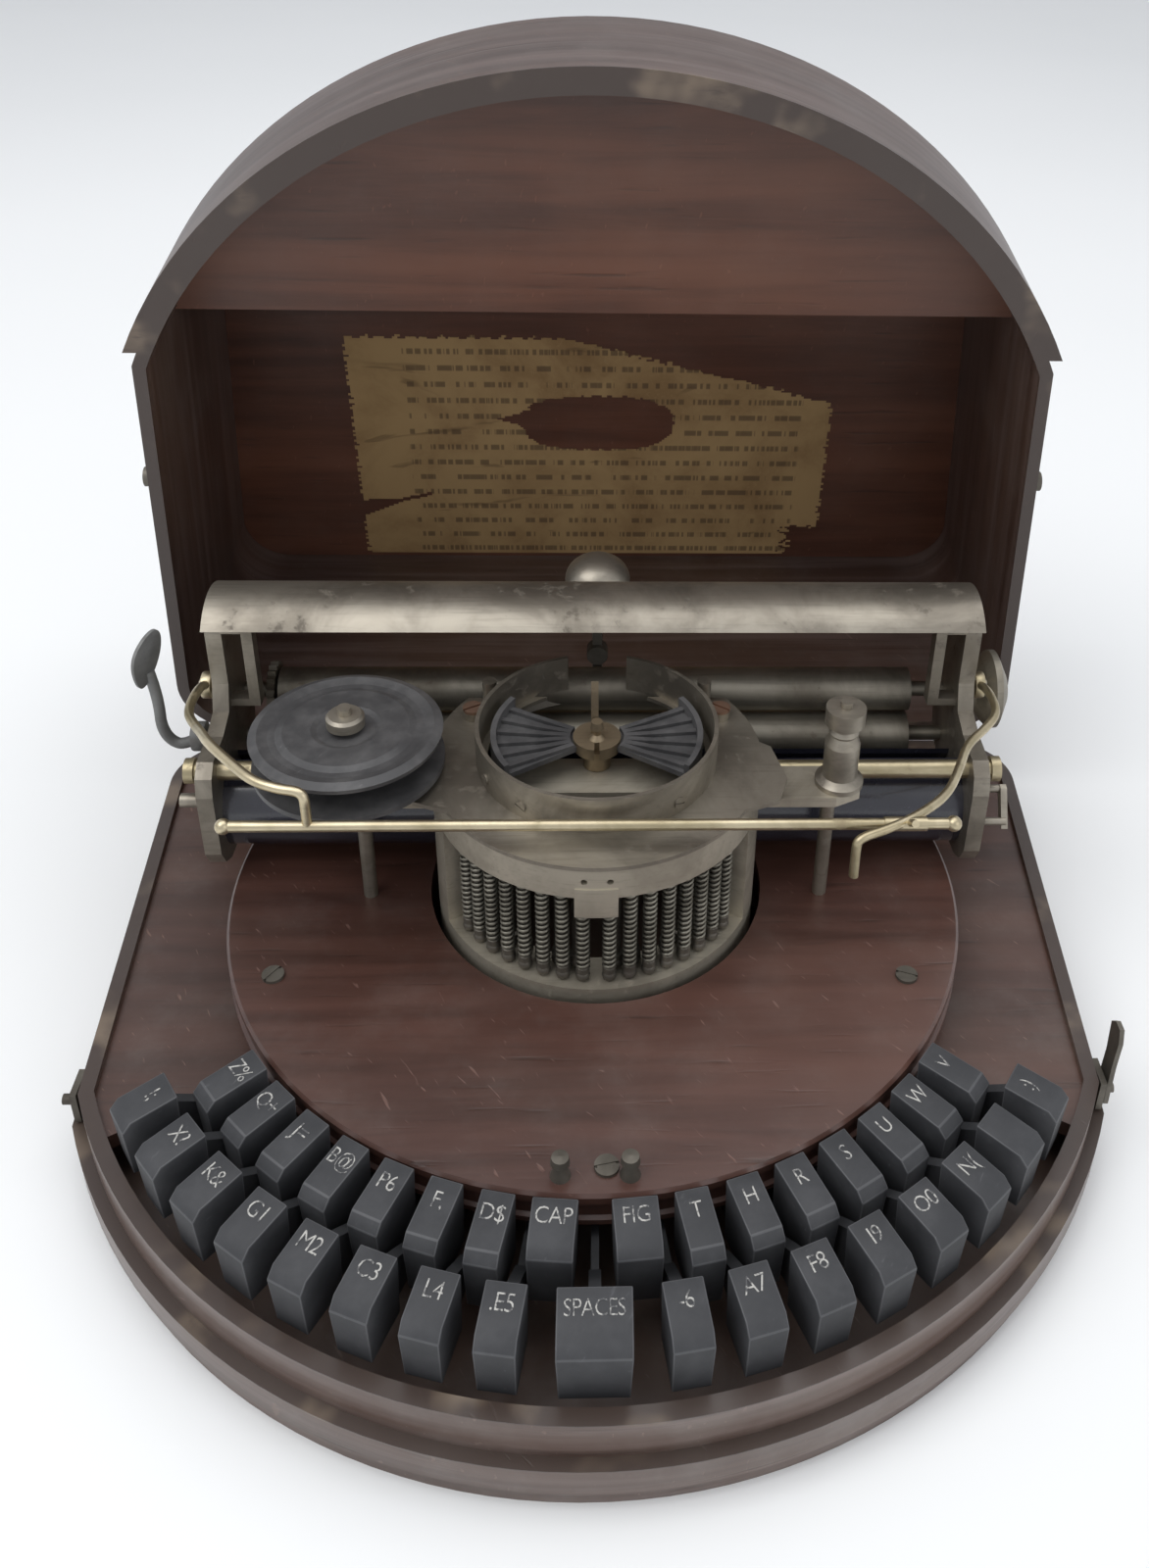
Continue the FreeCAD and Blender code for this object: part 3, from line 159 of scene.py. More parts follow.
class Graph:
    """The node graph of one material."""

    def __init__(self, name: str) -> None:
        """Starts a material with a bare surface shader.

        Args:
            name: the material's name.
        """
        self.material = bpy.data.materials.new(name)
        self.material.use_nodes = True
        self.tree = self.material.node_tree
        self.tree.nodes.clear()
        self.output = self.tree.nodes.new("ShaderNodeOutputMaterial")
        self.shader = self.tree.nodes.new("ShaderNodeBsdfPrincipled")
        self.tree.links.new(self.shader.outputs[0], self.output.inputs[0])
        coords = self.tree.nodes.new("ShaderNodeTexCoord")
        self.place = Val(self.tree, coords.outputs["Object"])

    def add(self, kind: str, settings: dict[str, Any], inputs: dict[Any, Any],
            out: Any = 0) -> Val:
        """Adds a node.

        Args:
            kind: the node's type.
            settings: its own settings by name.
            inputs: values or links by socket name or number.
            out: the output taken.

        Returns:
            The chosen output.
        """
        node = self.tree.nodes.new(kind)
        for key, value in settings.items():
            setattr(node, key, value)
        for key, value in inputs.items():
            slot = node.inputs[key]
            if isinstance(value, Val):
                self.tree.links.new(value.socket, slot)
            elif isinstance(value, tuple) and len(value) == 3 and slot.type == "RGBA":
                slot.default_value = (*value, 1.0)
            else:
                slot.default_value = value
        return Val(self.tree, node.outputs[out])

    def mapped(self, scale: Point, turn: Point = (0, 0, 0), shift: Point = (0, 0, 0)) -> Val:
        """The place on the object, turned and shifted, then stretched.

        Args:
            scale: the stretch on each axis.
            turn: the turn in radians.
            shift: the shift in metres.

        Returns:
            The place.
        """
        turned = self.add("ShaderNodeMapping", {}, {"Vector": self.place, "Rotation": turn,
                                                    "Location": shift})
        return self.add("ShaderNodeMapping", {}, {"Vector": turned, "Scale": scale})

    def noise(self, where: Val, scale: float = 1.0, detail: float = 4.0, rough: float = 0.55,
              warp: float = 0.0) -> Val:
        """Adds a noise.

        Args:
            where: the place it is read at.
            scale: its cells to the unit.
            detail: its octaves.
            rough: how strong the fine octaves are.
            warp: how far it is drawn out of shape.

        Returns:
            The noise value.
        """
        return self.add("ShaderNodeTexNoise", {}, {"Vector": where, "Scale": scale,
                                                   "Detail": detail, "Roughness": rough,
                                                   "Distortion": warp}, "Fac")

    def cells(self, size: float | Point, detail: float, rough: float = 0.55, warp: float = 0.0,
              turn: Point = (0, 0, 0), shift: Point = (0, 0, 0)) -> Val:
        """A noise over the object's own places.

        Args:
            size: its cells to the metre, one number or one for each axis.
            detail: its octaves.
            rough: how strong the fine octaves are.
            warp: how far it is drawn out of shape.
            turn: the turn given to the places.
            shift: the shift given to the places.

        Returns:
            The noise value.
        """
        scale = size if isinstance(size, tuple) else (size, size, size)
        return self.noise(self.mapped(scale, turn, shift), 1.0, detail, rough, warp)

    def mix(self, first: Any, second: Any, share: Any) -> Val:
        """Two colours mixed by a share."""
        return self.add("ShaderNodeMix", {"data_type": "RGBA"}, {0: share, 6: first, 7: second}, 2)

    def part(self, where: Val, axis: str) -> Val:
        """One coordinate of a vector."""
        return self.add("ShaderNodeSeparateXYZ", {}, {0: where}, axis)

    def bump(self, height: Val, strength: float, depth: float) -> None:
        """Feeds a height to the shader's normal.

        Args:
            height: the height.
            strength: how much of it shows.
            depth: how deep it is, in metres.
        """
        lift = self.add("ShaderNodeBump", {}, {"Height": height, "Strength": strength,
                                               "Distance": depth}, "Normal")
        self.feed("Normal", lift)

    def feed(self, socket: str, value: Any) -> None:
        """Sets or links one of the shader's sockets.

        Args:
            socket: the socket's name.
            value: a number, a colour or a value to link.
        """
        slot = self.shader.inputs[socket]
        if isinstance(value, Val):
            self.tree.links.new(value.socket, slot)
        elif isinstance(value, tuple):
            slot.default_value = (*value, 1.0)
        else:
            slot.default_value = value


class Setting(Enum):
    """Which part of the case a wood finish belongs to, for the way its coordinates turn."""

    BASE = 0.0
    LID = LID_OPEN


@dataclass(frozen=True)
class Wood:
    """Varnished timber with grain, pores, mottling, dust, scuffed edges and painted shade on the
    faces at the seam.
    """

    name: str
    deep: Colour
    body: Colour
    pale: Colour
    grain: Point
    setting: Setting = Setting.BASE
    gloss: float = 0.42
    dust: float = 0.15
    scuff: float = 0.25
    streaks: float = 0.0
    shade: Colour = (0.02, 0.012, 0.009)
    # The colour of the painted shade laid on the faces at the case's seam.
    seam_shade: Colour = (0.040, 0.026, 0.020)
    dust_tone: Colour = (0.26, 0.24, 0.22)
    streak_tone: Colour = (0.31, 0.25, 0.235)
    worn_tone: Colour = (0.24, 0.18, 0.125)
    long_share: float = 0.16
    pore_share: float = 3.2
    cloud_size: float = 14.0
    worn_wide: float = 0.0012
    edge_low: float | None = None
    edge_high: float | None = None

    def upright(self) -> tuple[Point, Point]:
        """Finds how the open lid's places turn back to those of the shut lid.

        Returns:
            The turn in radians and the shift.
        """
        if self.setting is Setting.BASE:
            return (0.0, 0.0, 0.0), (0.0, 0.0, 0.0)
        turn = math.radians(self.setting.value)
        c, s = math.cos(turn), math.sin(turn)
        return (turn, 0.0, 0.0), (0.0, -(HINGE[1] * c - HINGE[2] * s),
                                  -(HINGE[1] * s + HINGE[2] * c))

    def timber(self, g: Graph, spin: Point, shift: Point) -> tuple[Val, Val, Val, Val]:
        """Lays grain, mottling and pores.

        Args:
            g: the material's graph.
            spin: the turn of the places.
            shift: the shift of the places.

        Returns:
            The colour, the fine grain, the clouds and the pores.
        """
        long_grain = tuple(v * self.long_share for v in self.grain)
        pore_grain = tuple(v * self.pore_share for v in self.grain)
        fine = g.cells(self.grain, 6.0, 0.62, 0.4, spin, shift)
        broad = g.cells(long_grain, 3.0, 0.5, 0.9, spin, shift)
        cloud = g.cells(self.cloud_size, 3.0, 0.55, 0.0, spin, shift)
        pores = g.cells(pore_grain, 2.0, 0.5, 0.0, spin, shift)
        tone = g.mix(self.deep, self.body, (fine * 0.55 + broad * 0.6).over(0.34, 0.78))
        tone = g.mix(tone, self.pale, (cloud * 0.6 + broad * 0.5).over(0.5, 0.86) * 0.55)
        tone = g.mix(tone, self.shade, pores.over(0.63, 0.78) * 0.45)
        return tone, fine, cloud, pores

    def edges(self, g: Graph, tone: Val, spin: Point, shift: Point) -> Val:
        """Paints shade on the faces at the case's seam and rubs their corners pale in places.

        Args:
            g: the material's graph.
            tone: the colour so far.
            spin: the turn of the places.
            shift: the shift of the places.

        Returns:
            The colour with its edges.
        """
        height = g.part(g.mapped((1, 1, 1), spin, shift), "Z")
        ragged = g.cells((60, 60, 200), 5.0, 0.7) * 0.004 - 0.002
        patchy = g.cells(24, 3.0, 0.6).over(0.52, 0.68)
        for edge, sign in ((self.edge_low, 1), (self.edge_high, -1)):
            if edge is None:
                continue
            # Painted shade: the faces at the seam are darkened towards the seam colour.
            face = (height * sign).over(edge * sign + 0.0005, edge * sign + 0.0002)
            tone = g.mix(tone, self.seam_shade, face * 0.85)
            worn = ((height + ragged) * sign).over(edge * sign + self.worn_wide,
                                                   edge * sign) * patchy
            tone = g.mix(tone, self.worn_tone, worn * 0.6)
        return tone

    def material(self) -> bpy.types.Material:
        """Builds the material.

        Returns:
            The material.
        """
        g = Graph(self.name)
        spin, shift = self.upright()
        tone, fine, cloud, pores = self.timber(g, spin, shift)
        long_marks = g.cells((90, 620, 240), 2.0, 0.4, 0.2, (0.4, 0.3, 0.9))
        cross_marks = g.cells((560, 70, 300), 2.0, 0.4, 0.3, (0.1, 0.2, -0.5))
        marks = long_marks.over(0.7, 0.78) + cross_marks.over(0.72, 0.8)
        tone = g.mix(tone, tuple(min(1.0, v * 2.2 + 0.03) for v in self.pale), marks * self.scuff)
        dust = g.cells(30, 5.0, 0.7)
        tone = g.mix(tone, self.dust_tone, dust.over(0.42, 0.8) * self.dust)
        if self.streaks:
            lines = g.cells((5, 5, 150), 5.0, 0.6, 0.15, spin, shift)
            tone = g.mix(tone, self.streak_tone, lines.over(0.4, 0.72) * self.streaks)
        g.feed("Base Color", self.edges(g, tone, spin, shift))
        g.feed("Roughness", self.gloss * (0.8 + 0.35 * cloud) + 0.1 * marks)
        g.feed("Coat Weight", 0.18)
        g.feed("Coat Roughness", 0.3)
        g.bump(fine * 0.5 - pores.over(0.6, 0.8) * 0.5 - marks * 0.3, 0.35, 0.0004)
        return g.material


@dataclass(frozen=True)
class Plated:
    """Old plated or bare metal: cloudy tarnish, spots, fine scratches and a dull film."""

    name: str
    bright: Colour
    dull: Colour
    spot: Colour
    rough: float = 0.36
    metal: float = 0.85
    spots: float = 0.5
    pits: float = 0.0003

    def material(self) -> bpy.types.Material:
        """Builds the material.

        Returns:
            The material.
        """
        g = Graph(self.name)
        film = g.cells(26, 5.0, 0.6, 0.5)
        fleck = g.cells(170, 4.0, 0.7)
        brush = g.cells((40, 900, 900), 2.0, 0.5)
        tone = g.mix(self.bright, self.dull, film.over(0.36, 0.66))
        eaten = (fleck * 0.6 + film * 0.5).over(0.62, 0.72)
        tone = g.mix(tone, self.spot, eaten * self.spots)
        tone = g.mix(tone, tuple(v * 0.82 for v in self.dull), brush.over(0.5, 0.8) * 0.35)
        g.feed("Base Color", tone)
        g.feed("Metallic", self.metal - 0.45 * eaten)
        g.feed("Roughness", self.rough + 0.22 * film + 0.2 * eaten - 0.06 * brush)
        g.bump(fleck * 0.5 - eaten * 0.6 + brush * 0.15, 0.3, self.pits)
        return g.material


@dataclass(frozen=True)
class Hard:
    """Hard rubber, enamel or painted blocks: a dark body with a grey bloom and rubbed places."""

    name: str
    body: Colour
    bloom: Colour
    rough: float = 0.5
    coat: float = 0.0
    bloom_share: float = 0.5
    grit: float = 0.3

    def material(self) -> bpy.types.Material:
        """Builds the material.

        Returns:
            The material.
        """
        g = Graph(self.name)
        haze = g.cells(70, 5.0, 0.65)
        grit = g.cells(900, 3.0, 0.6)
        scrape = g.cells((700, 120, 500), 2.0, 0.5, 0.0, (0.2, 0.1, 0.6))
        tone = g.mix(self.body, self.bloom, haze.over(0.35, 0.75) * self.bloom_share)
        tone = g.mix(tone, tuple(v * 2.0 for v in self.bloom), scrape.over(0.68, 0.8) * 0.35)
        g.feed("Base Color", tone)
        g.feed("Roughness", self.rough + 0.15 * haze - 0.08 * scrape)
        g.feed("Coat Weight", self.coat)
        g.feed("Coat Roughness", 0.12)
        g.bump(grit * self.grit + haze * 0.3, 0.35, 0.0002)
        return g.material


@dataclass(frozen=True)
class OldPaper:
    """Browned paper with foxing, creases and rows of illegible faded strokes."""

    name: str = "browned_paper"
    light: Colour = (0.40, 0.26, 0.115)
    dark: Colour = (0.25, 0.145, 0.058)
    fibre_tone: Colour = (0.40, 0.27, 0.135)
    ink_tone: Colour = (0.06, 0.035, 0.02)
    crease_tone: Colour = (0.12, 0.07, 0.03)
    first_row: float = 0.15
    row: float = 0.0088
    left: float = -0.092
    right: float = 0.099
    fade: float = 0.002

    def strokes(self, g: Graph) -> Val:
        """Where the rows of short strokes lie.

        Args:
            g: the material's graph.

        Returns:
            1 in a stroke, 0 between.
        """
        x = g.part(g.place, "X")
        rows = (g.part(g.place, "Z") - self.first_row) / self.row
        level = rows.math("FRACT")
        line = rows.math("FLOOR")
        dashes, words = (
            g.noise(g.add("ShaderNodeCombineXYZ", {}, {"X": x * along, "Y": line * apart}),
                    1.0, detail, 0.5)
            for along, apart, detail in ((520.0, 13.7, 1.0), (150.0, 7.3, 0.0)))
        inside = (x.over(self.left, self.left + self.fade)
                  * x.over(self.right, self.right - self.fade))
        stroke = level.over(0.24, 0.32) * level.over(0.66, 0.56)
        return stroke * dashes.over(0.44, 0.5) * words.over(0.36, 0.4) * inside

    def material(self) -> bpy.types.Material:
        """Builds the material.

        Returns:
            The material.
        """
        g = Graph(self.name)
        blotch = g.cells(22, 5.0, 0.6, 0.4)
        fibre = g.cells(500, 3.0, 0.6)
        tone = g.mix(self.light, self.dark, blotch.over(0.38, 0.72))
        tone = g.mix(tone, self.fibre_tone, fibre.over(0.5, 0.8) * 0.3)
        tone = g.mix(tone, self.ink_tone, self.strokes(g) * 0.62)
        crease = g.cells((16, 16, 60), 3.0, 0.5, 1.2)
        tone = g.mix(tone, self.crease_tone, crease.over(0.64, 0.7) * 0.5)
        g.feed("Base Color", tone)
        g.feed("Roughness", 0.78 + 0.12 * fibre)
        g.bump(crease * 0.6 + fibre * 0.3, 0.5, 0.0006)
        return g.material


@dataclass(frozen=True)
class Chalk:
    """The worn pale filling of the engraved key characters."""

    name: str = "legend_filling"
    chalk: Colour = (0.46, 0.45, 0.42)
    lost: Colour = (0.085, 0.085, 0.088)

    def material(self) -> bpy.types.Material:
        """Builds the material.

        Returns:
            The material.
        """
        g = Graph(self.name)
        worn = g.cells(420, 4.0, 0.7)
        g.feed("Base Color", g.mix(self.chalk, self.lost, worn.over(0.44, 0.60)))
        g.feed("Roughness", 0.6 + 0.2 * worn)
        g.bump(worn, 0.3, 0.0002)
        return g.material


class Finishes:
    """Every finish of the machine, built once and asked for by name."""

    def __init__(self) -> None:
        """Builds all the materials."""
        wood = (
            Wood("case_band", (0.058, 0.034, 0.026), (0.115, 0.070, 0.052), (0.175, 0.125, 0.100),
                 (6, 6, 130), gloss=0.36, dust=0.26, scuff=0.22, streaks=0.28,
                 edge_high=0.0334),
            Wood("plinth_band", (0.058, 0.036, 0.028), (0.120, 0.076, 0.058), (0.18, 0.132, 0.108),
                 (6, 6, 110), gloss=0.4, dust=0.28, scuff=0.2, streaks=0.26, edge_high=0.019),
            Wood("deck_boards", (0.038, 0.018, 0.012), (0.090, 0.042, 0.030), (0.15, 0.085, 0.062),
                 (7, 90, 90), gloss=0.4, dust=0.14, scuff=0.28),
            Wood("disc_mahogany", (0.040, 0.017, 0.012), (0.095, 0.043, 0.032),
                 (0.145, 0.078, 0.060), (9, 110, 110), gloss=0.36, dust=0.10, scuff=0.22),
            # The lid band's tones are set darker than the base band's: painted shade on the lid's
            # walls.
            Wood("lid_band_wood", (0.040, 0.021, 0.015), (0.082, 0.046, 0.034),
                 (0.125, 0.080, 0.062), (6, 6, 120), Setting.LID, gloss=0.42, dust=0.12,
                 scuff=0.22, streaks=0.18, edge_low=0.0004),
            Wood("lid_panels", (0.050, 0.018, 0.010), (0.135, 0.050, 0.027), (0.18, 0.078, 0.046),
                 (8, 110, 90), Setting.LID, gloss=0.5, dust=0.05, scuff=0.12),
        )
        metal = (
            Plated("old_nickel", (0.38, 0.345, 0.285), (0.205, 0.182, 0.148), (0.09, 0.07, 0.05)),
            Plated("fascia_nickel", (0.52, 0.475, 0.385), (0.33, 0.295, 0.235), (0.12, 0.09, 0.06),
                   rough=0.4, metal=0.7, spots=0.4),
            Plated("roller_nickel", (0.30, 0.275, 0.225), (0.16, 0.14, 0.11), (0.08, 0.05, 0.03),
                   rough=0.42),
            Plated("dark_steel", (0.17, 0.155, 0.13), (0.095, 0.085, 0.07), (0.05, 0.035, 0.025),
                   rough=0.46, metal=0.75),
            Plated("spring_steel", (0.27, 0.255, 0.21), (0.14, 0.13, 0.105), (0.07, 0.05, 0.035),
                   rough=0.38, metal=0.85),
            Plated("yellow_wire", (0.60, 0.52, 0.36), (0.36, 0.305, 0.19), (0.16, 0.11, 0.06),
                   rough=0.28, metal=0.95, spots=0.35),
            Plated("old_bronze", (0.33, 0.26, 0.17), (0.19, 0.15, 0.10), (0.08, 0.05, 0.03),
                   rough=0.42),
            Plated("grey_lever", (0.25, 0.25, 0.24), (0.15, 0.15, 0.145), (0.08, 0.07, 0.06),
                   rough=0.5, metal=0.6),
            Plated("copper_screw", (0.33, 0.20, 0.14), (0.22, 0.14, 0.10), (0.10, 0.06, 0.04),
                   rough=0.45),
        )
        hard = (
            Hard("hard_rubber", (0.046, 0.045, 0.046), (0.108, 0.105, 0.104), rough=0.42,
                 bloom_share=0.75),
            Hard("black_japan", (0.016, 0.016, 0.024), (0.032, 0.032, 0.045), rough=0.2, coat=0.6),
            Hard("key_slate", (0.030, 0.031, 0.034), (0.060, 0.061, 0.065), rough=0.6,
                 bloom_share=0.6),
            Hard("key_rubbed", (0.062, 0.063, 0.067), (0.095, 0.096, 0.100), rough=0.5),
        )
        self.made = {f.name: f.material() for f in (*wood, *metal, *hard, OldPaper(), Chalk())}

    def __getitem__(self, name: str) -> bpy.types.Material:
        """The material of that name."""
        return self.made[name]


# Modelling bench


class Bench:
    """The moves of modelling by hand that every sub-assembly shares."""

    @staticmethod
    def take(*pieces: bpy.types.Object) -> None:
        """Deselects everything and takes these pieces, the first as the active one.

        Args:
            pieces: the pieces, or none.
        """
        if bpy.context.object and bpy.context.object.mode != "OBJECT":
            bpy.ops.object.mode_set(mode="OBJECT")
        bpy.ops.object.select_all(action="DESELECT")
        for piece in pieces:
            piece.select_set(True)
        if pieces:
            bpy.context.view_layer.objects.active = pieces[0]

    @classmethod
    def named(cls, name: str) -> bpy.types.Object:
        """Names the piece that an operator has just added.

        Args:
            name: its name.

        Returns:
            The piece.
        """
        piece = bpy.context.object
        piece.name = name
        piece.data.name = name
        return piece

    @classmethod
    def cylinder(cls, name: str, radius: float, length: float, place: Point, sides: int = 32,
                 turn: Point = (0, 0, 0)) -> bpy.types.Object:
        """Adds a round bar.

        Args:
            name: its name.
            radius: its radius.
            length: its length.
            place: its middle.
            sides: the sides of its round.
            turn: its turn in radians.

        Returns:
            The bar.
        """
        cls.take()
        bpy.ops.mesh.primitive_cylinder_add(vertices=sides, radius=radius, depth=length,
                                            location=place, rotation=turn)
        return cls.named(name)

    @classmethod
    def ball(cls, name: str, radius: float, place: Point, sides: int = 16) -> bpy.types.Object:
        """Adds a ball.

        Args:
            name: its name.
            radius: its radius.
            place: its middle.
            sides: its meridians.

        Returns:
            The ball.
        """
        cls.take()
        bpy.ops.mesh.primitive_uv_sphere_add(segments=sides, ring_count=sides // 2, radius=radius,
                                             location=place)
        return cls.named(name)

    @classmethod
    def settle(cls, piece: bpy.types.Object) -> bpy.types.Object:
        """Puts a piece's place, turn and size into its mesh.

        Args:
            piece: the piece.

        Returns:
            The same piece.
        """
        cls.take(piece)
        bpy.ops.object.transform_apply(location=True, rotation=True, scale=True)
        return piece

    @classmethod
    def pick(cls, piece: bpy.types.Object, kind: str,
             test: Callable[[Vector, Vector], bool]) -> None:
        """Enters edit mode with the faces or edges chosen by a test of their middle and normal.

        Args:
            piece: the piece.
            kind: FACE or EDGE.
            test: takes the middle and the normal, or for an edge its middle and its direction.
        """
        cls.take(piece)
        bpy.ops.object.mode_set(mode="EDIT")
        bpy.ops.mesh.select_mode(type=kind)
        bpy.ops.mesh.select_all(action="DESELECT")
        shape = bmesh.from_edit_mesh(piece.data)
        if kind == "FACE":
            for face in shape.faces:
                face.select_set(test(face.calc_center_median(), face.normal))
        else:
            for edge in shape.edges:
                a, b = (v.co for v in edge.verts)
                edge.select_set(test((a + b) / 2, (b - a).normalized()))
        shape.select_flush_mode()
        bmesh.update_edit_mesh(piece.data)

    @classmethod
    def done(cls, piece: bpy.types.Object) -> bpy.types.Object:
        """Leaves edit mode."""
        bpy.ops.object.mode_set(mode="OBJECT")
        return piece

    @classmethod
    def rounded(cls, piece: bpy.types.Object, width: float, steps: int = 2,
                material: int = -1, angle: float = 40.0) -> bpy.types.Object:
        """Bevels a piece's sharp edges.

        Args:
            piece: the piece.
            width: the bevel's width.
            steps: its steps.
            material: the material slot of the new faces, -1 for that of their neighbours.
            angle: the least angle of a sharp edge, in degrees.

        Returns:
            The same piece.
        """
        cls.take(piece)
        bevel = piece.modifiers.new("edge_round", "BEVEL")
        bevel.width = width
        bevel.segments = steps
        bevel.limit_method = "ANGLE"
        bevel.angle_limit = math.radians(angle)
        bevel.material = material
        bpy.ops.object.modifier_apply(modifier=bevel.name)
        return piece

    @classmethod
    def smooth(cls, piece: bpy.types.Object, angle: float = 38.0) -> bpy.types.Object:
        """Shades a piece smooth but for its sharp edges.

        Args:
            piece: the piece.
            angle: the least angle of a sharp edge, in degrees.

        Returns:
            The same piece.
        """
        cls.take(piece)
        bpy.ops.object.shade_smooth_by_angle(angle=math.radians(angle))
        return piece

    @classmethod
    def wire(cls, name: str, points: Sequence[Point], radius: float,
             fine: int = 10) -> bpy.types.Object:
        """Bends a smooth wire through the space of its control points.

        Args:
            name: its name.
            points: the control points.
            radius: the wire's radius.
            fine: steps between two control points.

        Returns:
            The wire as a mesh.
        """
        line = bpy.data.curves.new(name, "CURVE")
        line.dimensions = "3D"
        line.resolution_u = fine
        line.bevel_depth = radius
        line.bevel_resolution = 4
        line.use_fill_caps = True
        spline = line.splines.new("NURBS")
        spline.points.add(len(points) - 1)
        for spot, point in zip(spline.points, points):
            spot.co = (*point, 1.0)
        spline.use_endpoint_u = True
        spline.order_u = 3
        piece = bpy.data.objects.new(name, line)
        bpy.context.scene.collection.objects.link(piece)
        cls.take(piece)
        bpy.ops.object.convert(target="MESH")
        return cls.smooth(bpy.context.object)

    @classmethod
    def outline(cls, name: str, points: Sequence[tuple[float, float]], half: float,
                turn: Point = (0, 0, 0), place: Point = (0, 0, 0),
                curved: bool = False) -> bpy.types.Object:
        """A plate of a drawn outline, cut from a flat curve.

        Args:
            name: the piece's name.
            points: the outline's corners, or its control points where it is curved.
            half: half the plate's thickness.
            turn: its turn, about the plate's own origin.
            place: where the origin goes.
            curved: True for a smooth outline.

        Returns:
            The plate, with its place in its mesh.
        """
        line = bpy.data.curves.new(name, "CURVE")
        line.dimensions = "2D"
        line.fill_mode = "BOTH"
        line.extrude = half
        line.resolution_u = 8
        spline = line.splines.new("NURBS" if curved else "POLY")
        spline.points.add(len(points) - 1)
        for spot, (u, v) in zip(spline.points, points):
            spot.co = (u, v, 0.0, 1.0)
        spline.use_cyclic_u = True
        if curved:
            spline.order_u = 4
        piece = bpy.data.objects.new(name, line)
        bpy.context.scene.collection.objects.link(piece)
        cls.take(piece)
        bpy.ops.object.convert(target="MESH")
        piece = bpy.context.object
        cls.pick(piece, "FACE", lambda middle, normal: True)
        bpy.ops.mesh.remove_doubles(threshold=0.00001)
        bpy.ops.mesh.normals_make_consistent(inside=False)
        cls.done(piece)
        piece.rotation_euler = turn
        piece.location = place
        return cls.settle(piece)

    @classmethod
    def join(cls, name: str, pieces: Sequence[bpy.types.Object]) -> bpy.types.Object:
        """Joins pieces into one.

        Args:
            name: its name.
            pieces: the pieces, the first one leading.

        Returns:
            The joined piece.
        """
        cls.take(*pieces)
        bpy.ops.object.join()
        return cls.named(name)

    @classmethod
    def twin(cls, piece: bpy.types.Object, name: str, place: Sequence[float],
             turn: Point) -> bpy.types.Object:
        """A copy with its own mesh, turned and set at a place.

        Args:
            piece: the model piece.
            name: the copy's name.
            place: where its origin goes.
            turn: its turn in radians.

        Returns:
            The copy, with its place in its mesh.
        """
        twin = piece.copy()
        twin.data = piece.data.copy()
        twin.name = name
        twin.data.name = name
        bpy.context.scene.collection.objects.link(twin)
        twin.location = place
        twin.rotation_euler = turn
        return cls.settle(twin)

    @classmethod
    def copy(cls, piece: bpy.types.Object, name: str, move: Point = (0, 0, 0),
             spin: float = 0.0) -> bpy.types.Object:
        """A copy moved and then turned about the turret axis.

        Args:
            piece: the model piece.
            name: the copy's name.
            move: the move before the turn.
            spin: the turn about +Z in degrees.

        Returns:
            The copy.
        """
        turn = math.radians(spin)
        return cls.twin(piece, name, Matrix.Rotation(turn, 3, "Z") @ Vector(move), (0, 0, turn))

    @classmethod
    def discard(cls, *pieces: bpy.types.Object) -> None:
        """Removes model pieces that only served for copying."""
        for piece in pieces:
            bpy.data.objects.remove(piece)

    @classmethod
    def dress(cls, piece: bpy.types.Object, materials: Iterable[bpy.types.Material]) -> None:
        """Gives a piece its materials in order.

        Args:
            piece: the piece.
            materials: its materials.
        """
        piece.data.materials.clear()
        for material in materials:
            piece.data.materials.append(material)

    @classmethod
    def finish(cls, piece: bpy.types.Object, body: str, slot: str, *nodes: str) -> None:
        """Ties a finished piece to its body and hides the solids it stands for.

        Args:
            piece: the piece.
            body: the body it rides.
            slot: not used.
            nodes: the solids it replaces, if any.
        """
        cls.settle(piece)
        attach(piece, body)
        if nodes:
            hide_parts(*nodes)
        LOG.info("%s rides %s", piece.name, body)


class Assembly:
    """What the sub-assemblies share: the frame and the finishes."""

    frame: dict[str, Any]
    finishes: Finishes

    def build(self) -> None:
        """Builds the pieces; each sub-assembly has its own."""
        raise NotImplementedError


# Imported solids


@dataclass
class Solids(Assembly):
    """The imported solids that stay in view, each with its finish."""

    frame: dict[str, Any]
    finishes: Finishes
    coats: dict[str, str] = field(default_factory=lambda: {
        "base_board": "plinth_band", "rim_band": "case_band", "deck_board": "deck_boards",
        "disc_board": "disc_mahogany", "key_fulcrum": "dark_steel",
        "turret_frame": "fascia_nickel", "turret_top_plate": "old_nickel",
        "spool_posts": "old_nickel", "bell": "old_nickel",
        "base_fittings": "dark_steel", "lid_band": "lid_band_wood", "lid_boards": "lid_panels",
        "lid_hardware": "dark_steel", "shuttle_hub": "old_bronze", "type_sectors": "hard_rubber",
        "ribbon_spool": "hard_rubber", "carriage_ends": "old_nickel",
        "carriage_rail": "yellow_wire", "cover_bar": "old_nickel", "paper_basket": "black_japan",
        "feed_roller": "roller_nickel", "pressure_roller": "roller_nickel",
        "hammer": "dark_steel", "latch_hasp": "dark_steel"})

    def build(self) -> None:
        """Dresses the solids."""
        for name, coat in self.coats.items():
            node = self.frame["nodes"][name]
            if not node.material_slots:
                node.data.materials.append(self.finishes[coat])
            for holder in node.material_slots:
                holder.material = self.finishes[coat]
            LOG.info("%s wears %s", name, coat)


# Keys


@dataclass(frozen=True)
class KeyShape:
    """The sizes of one kind of key block, in metres."""

    front: float
    back: float
    width: float
    top: float
    neck: bool


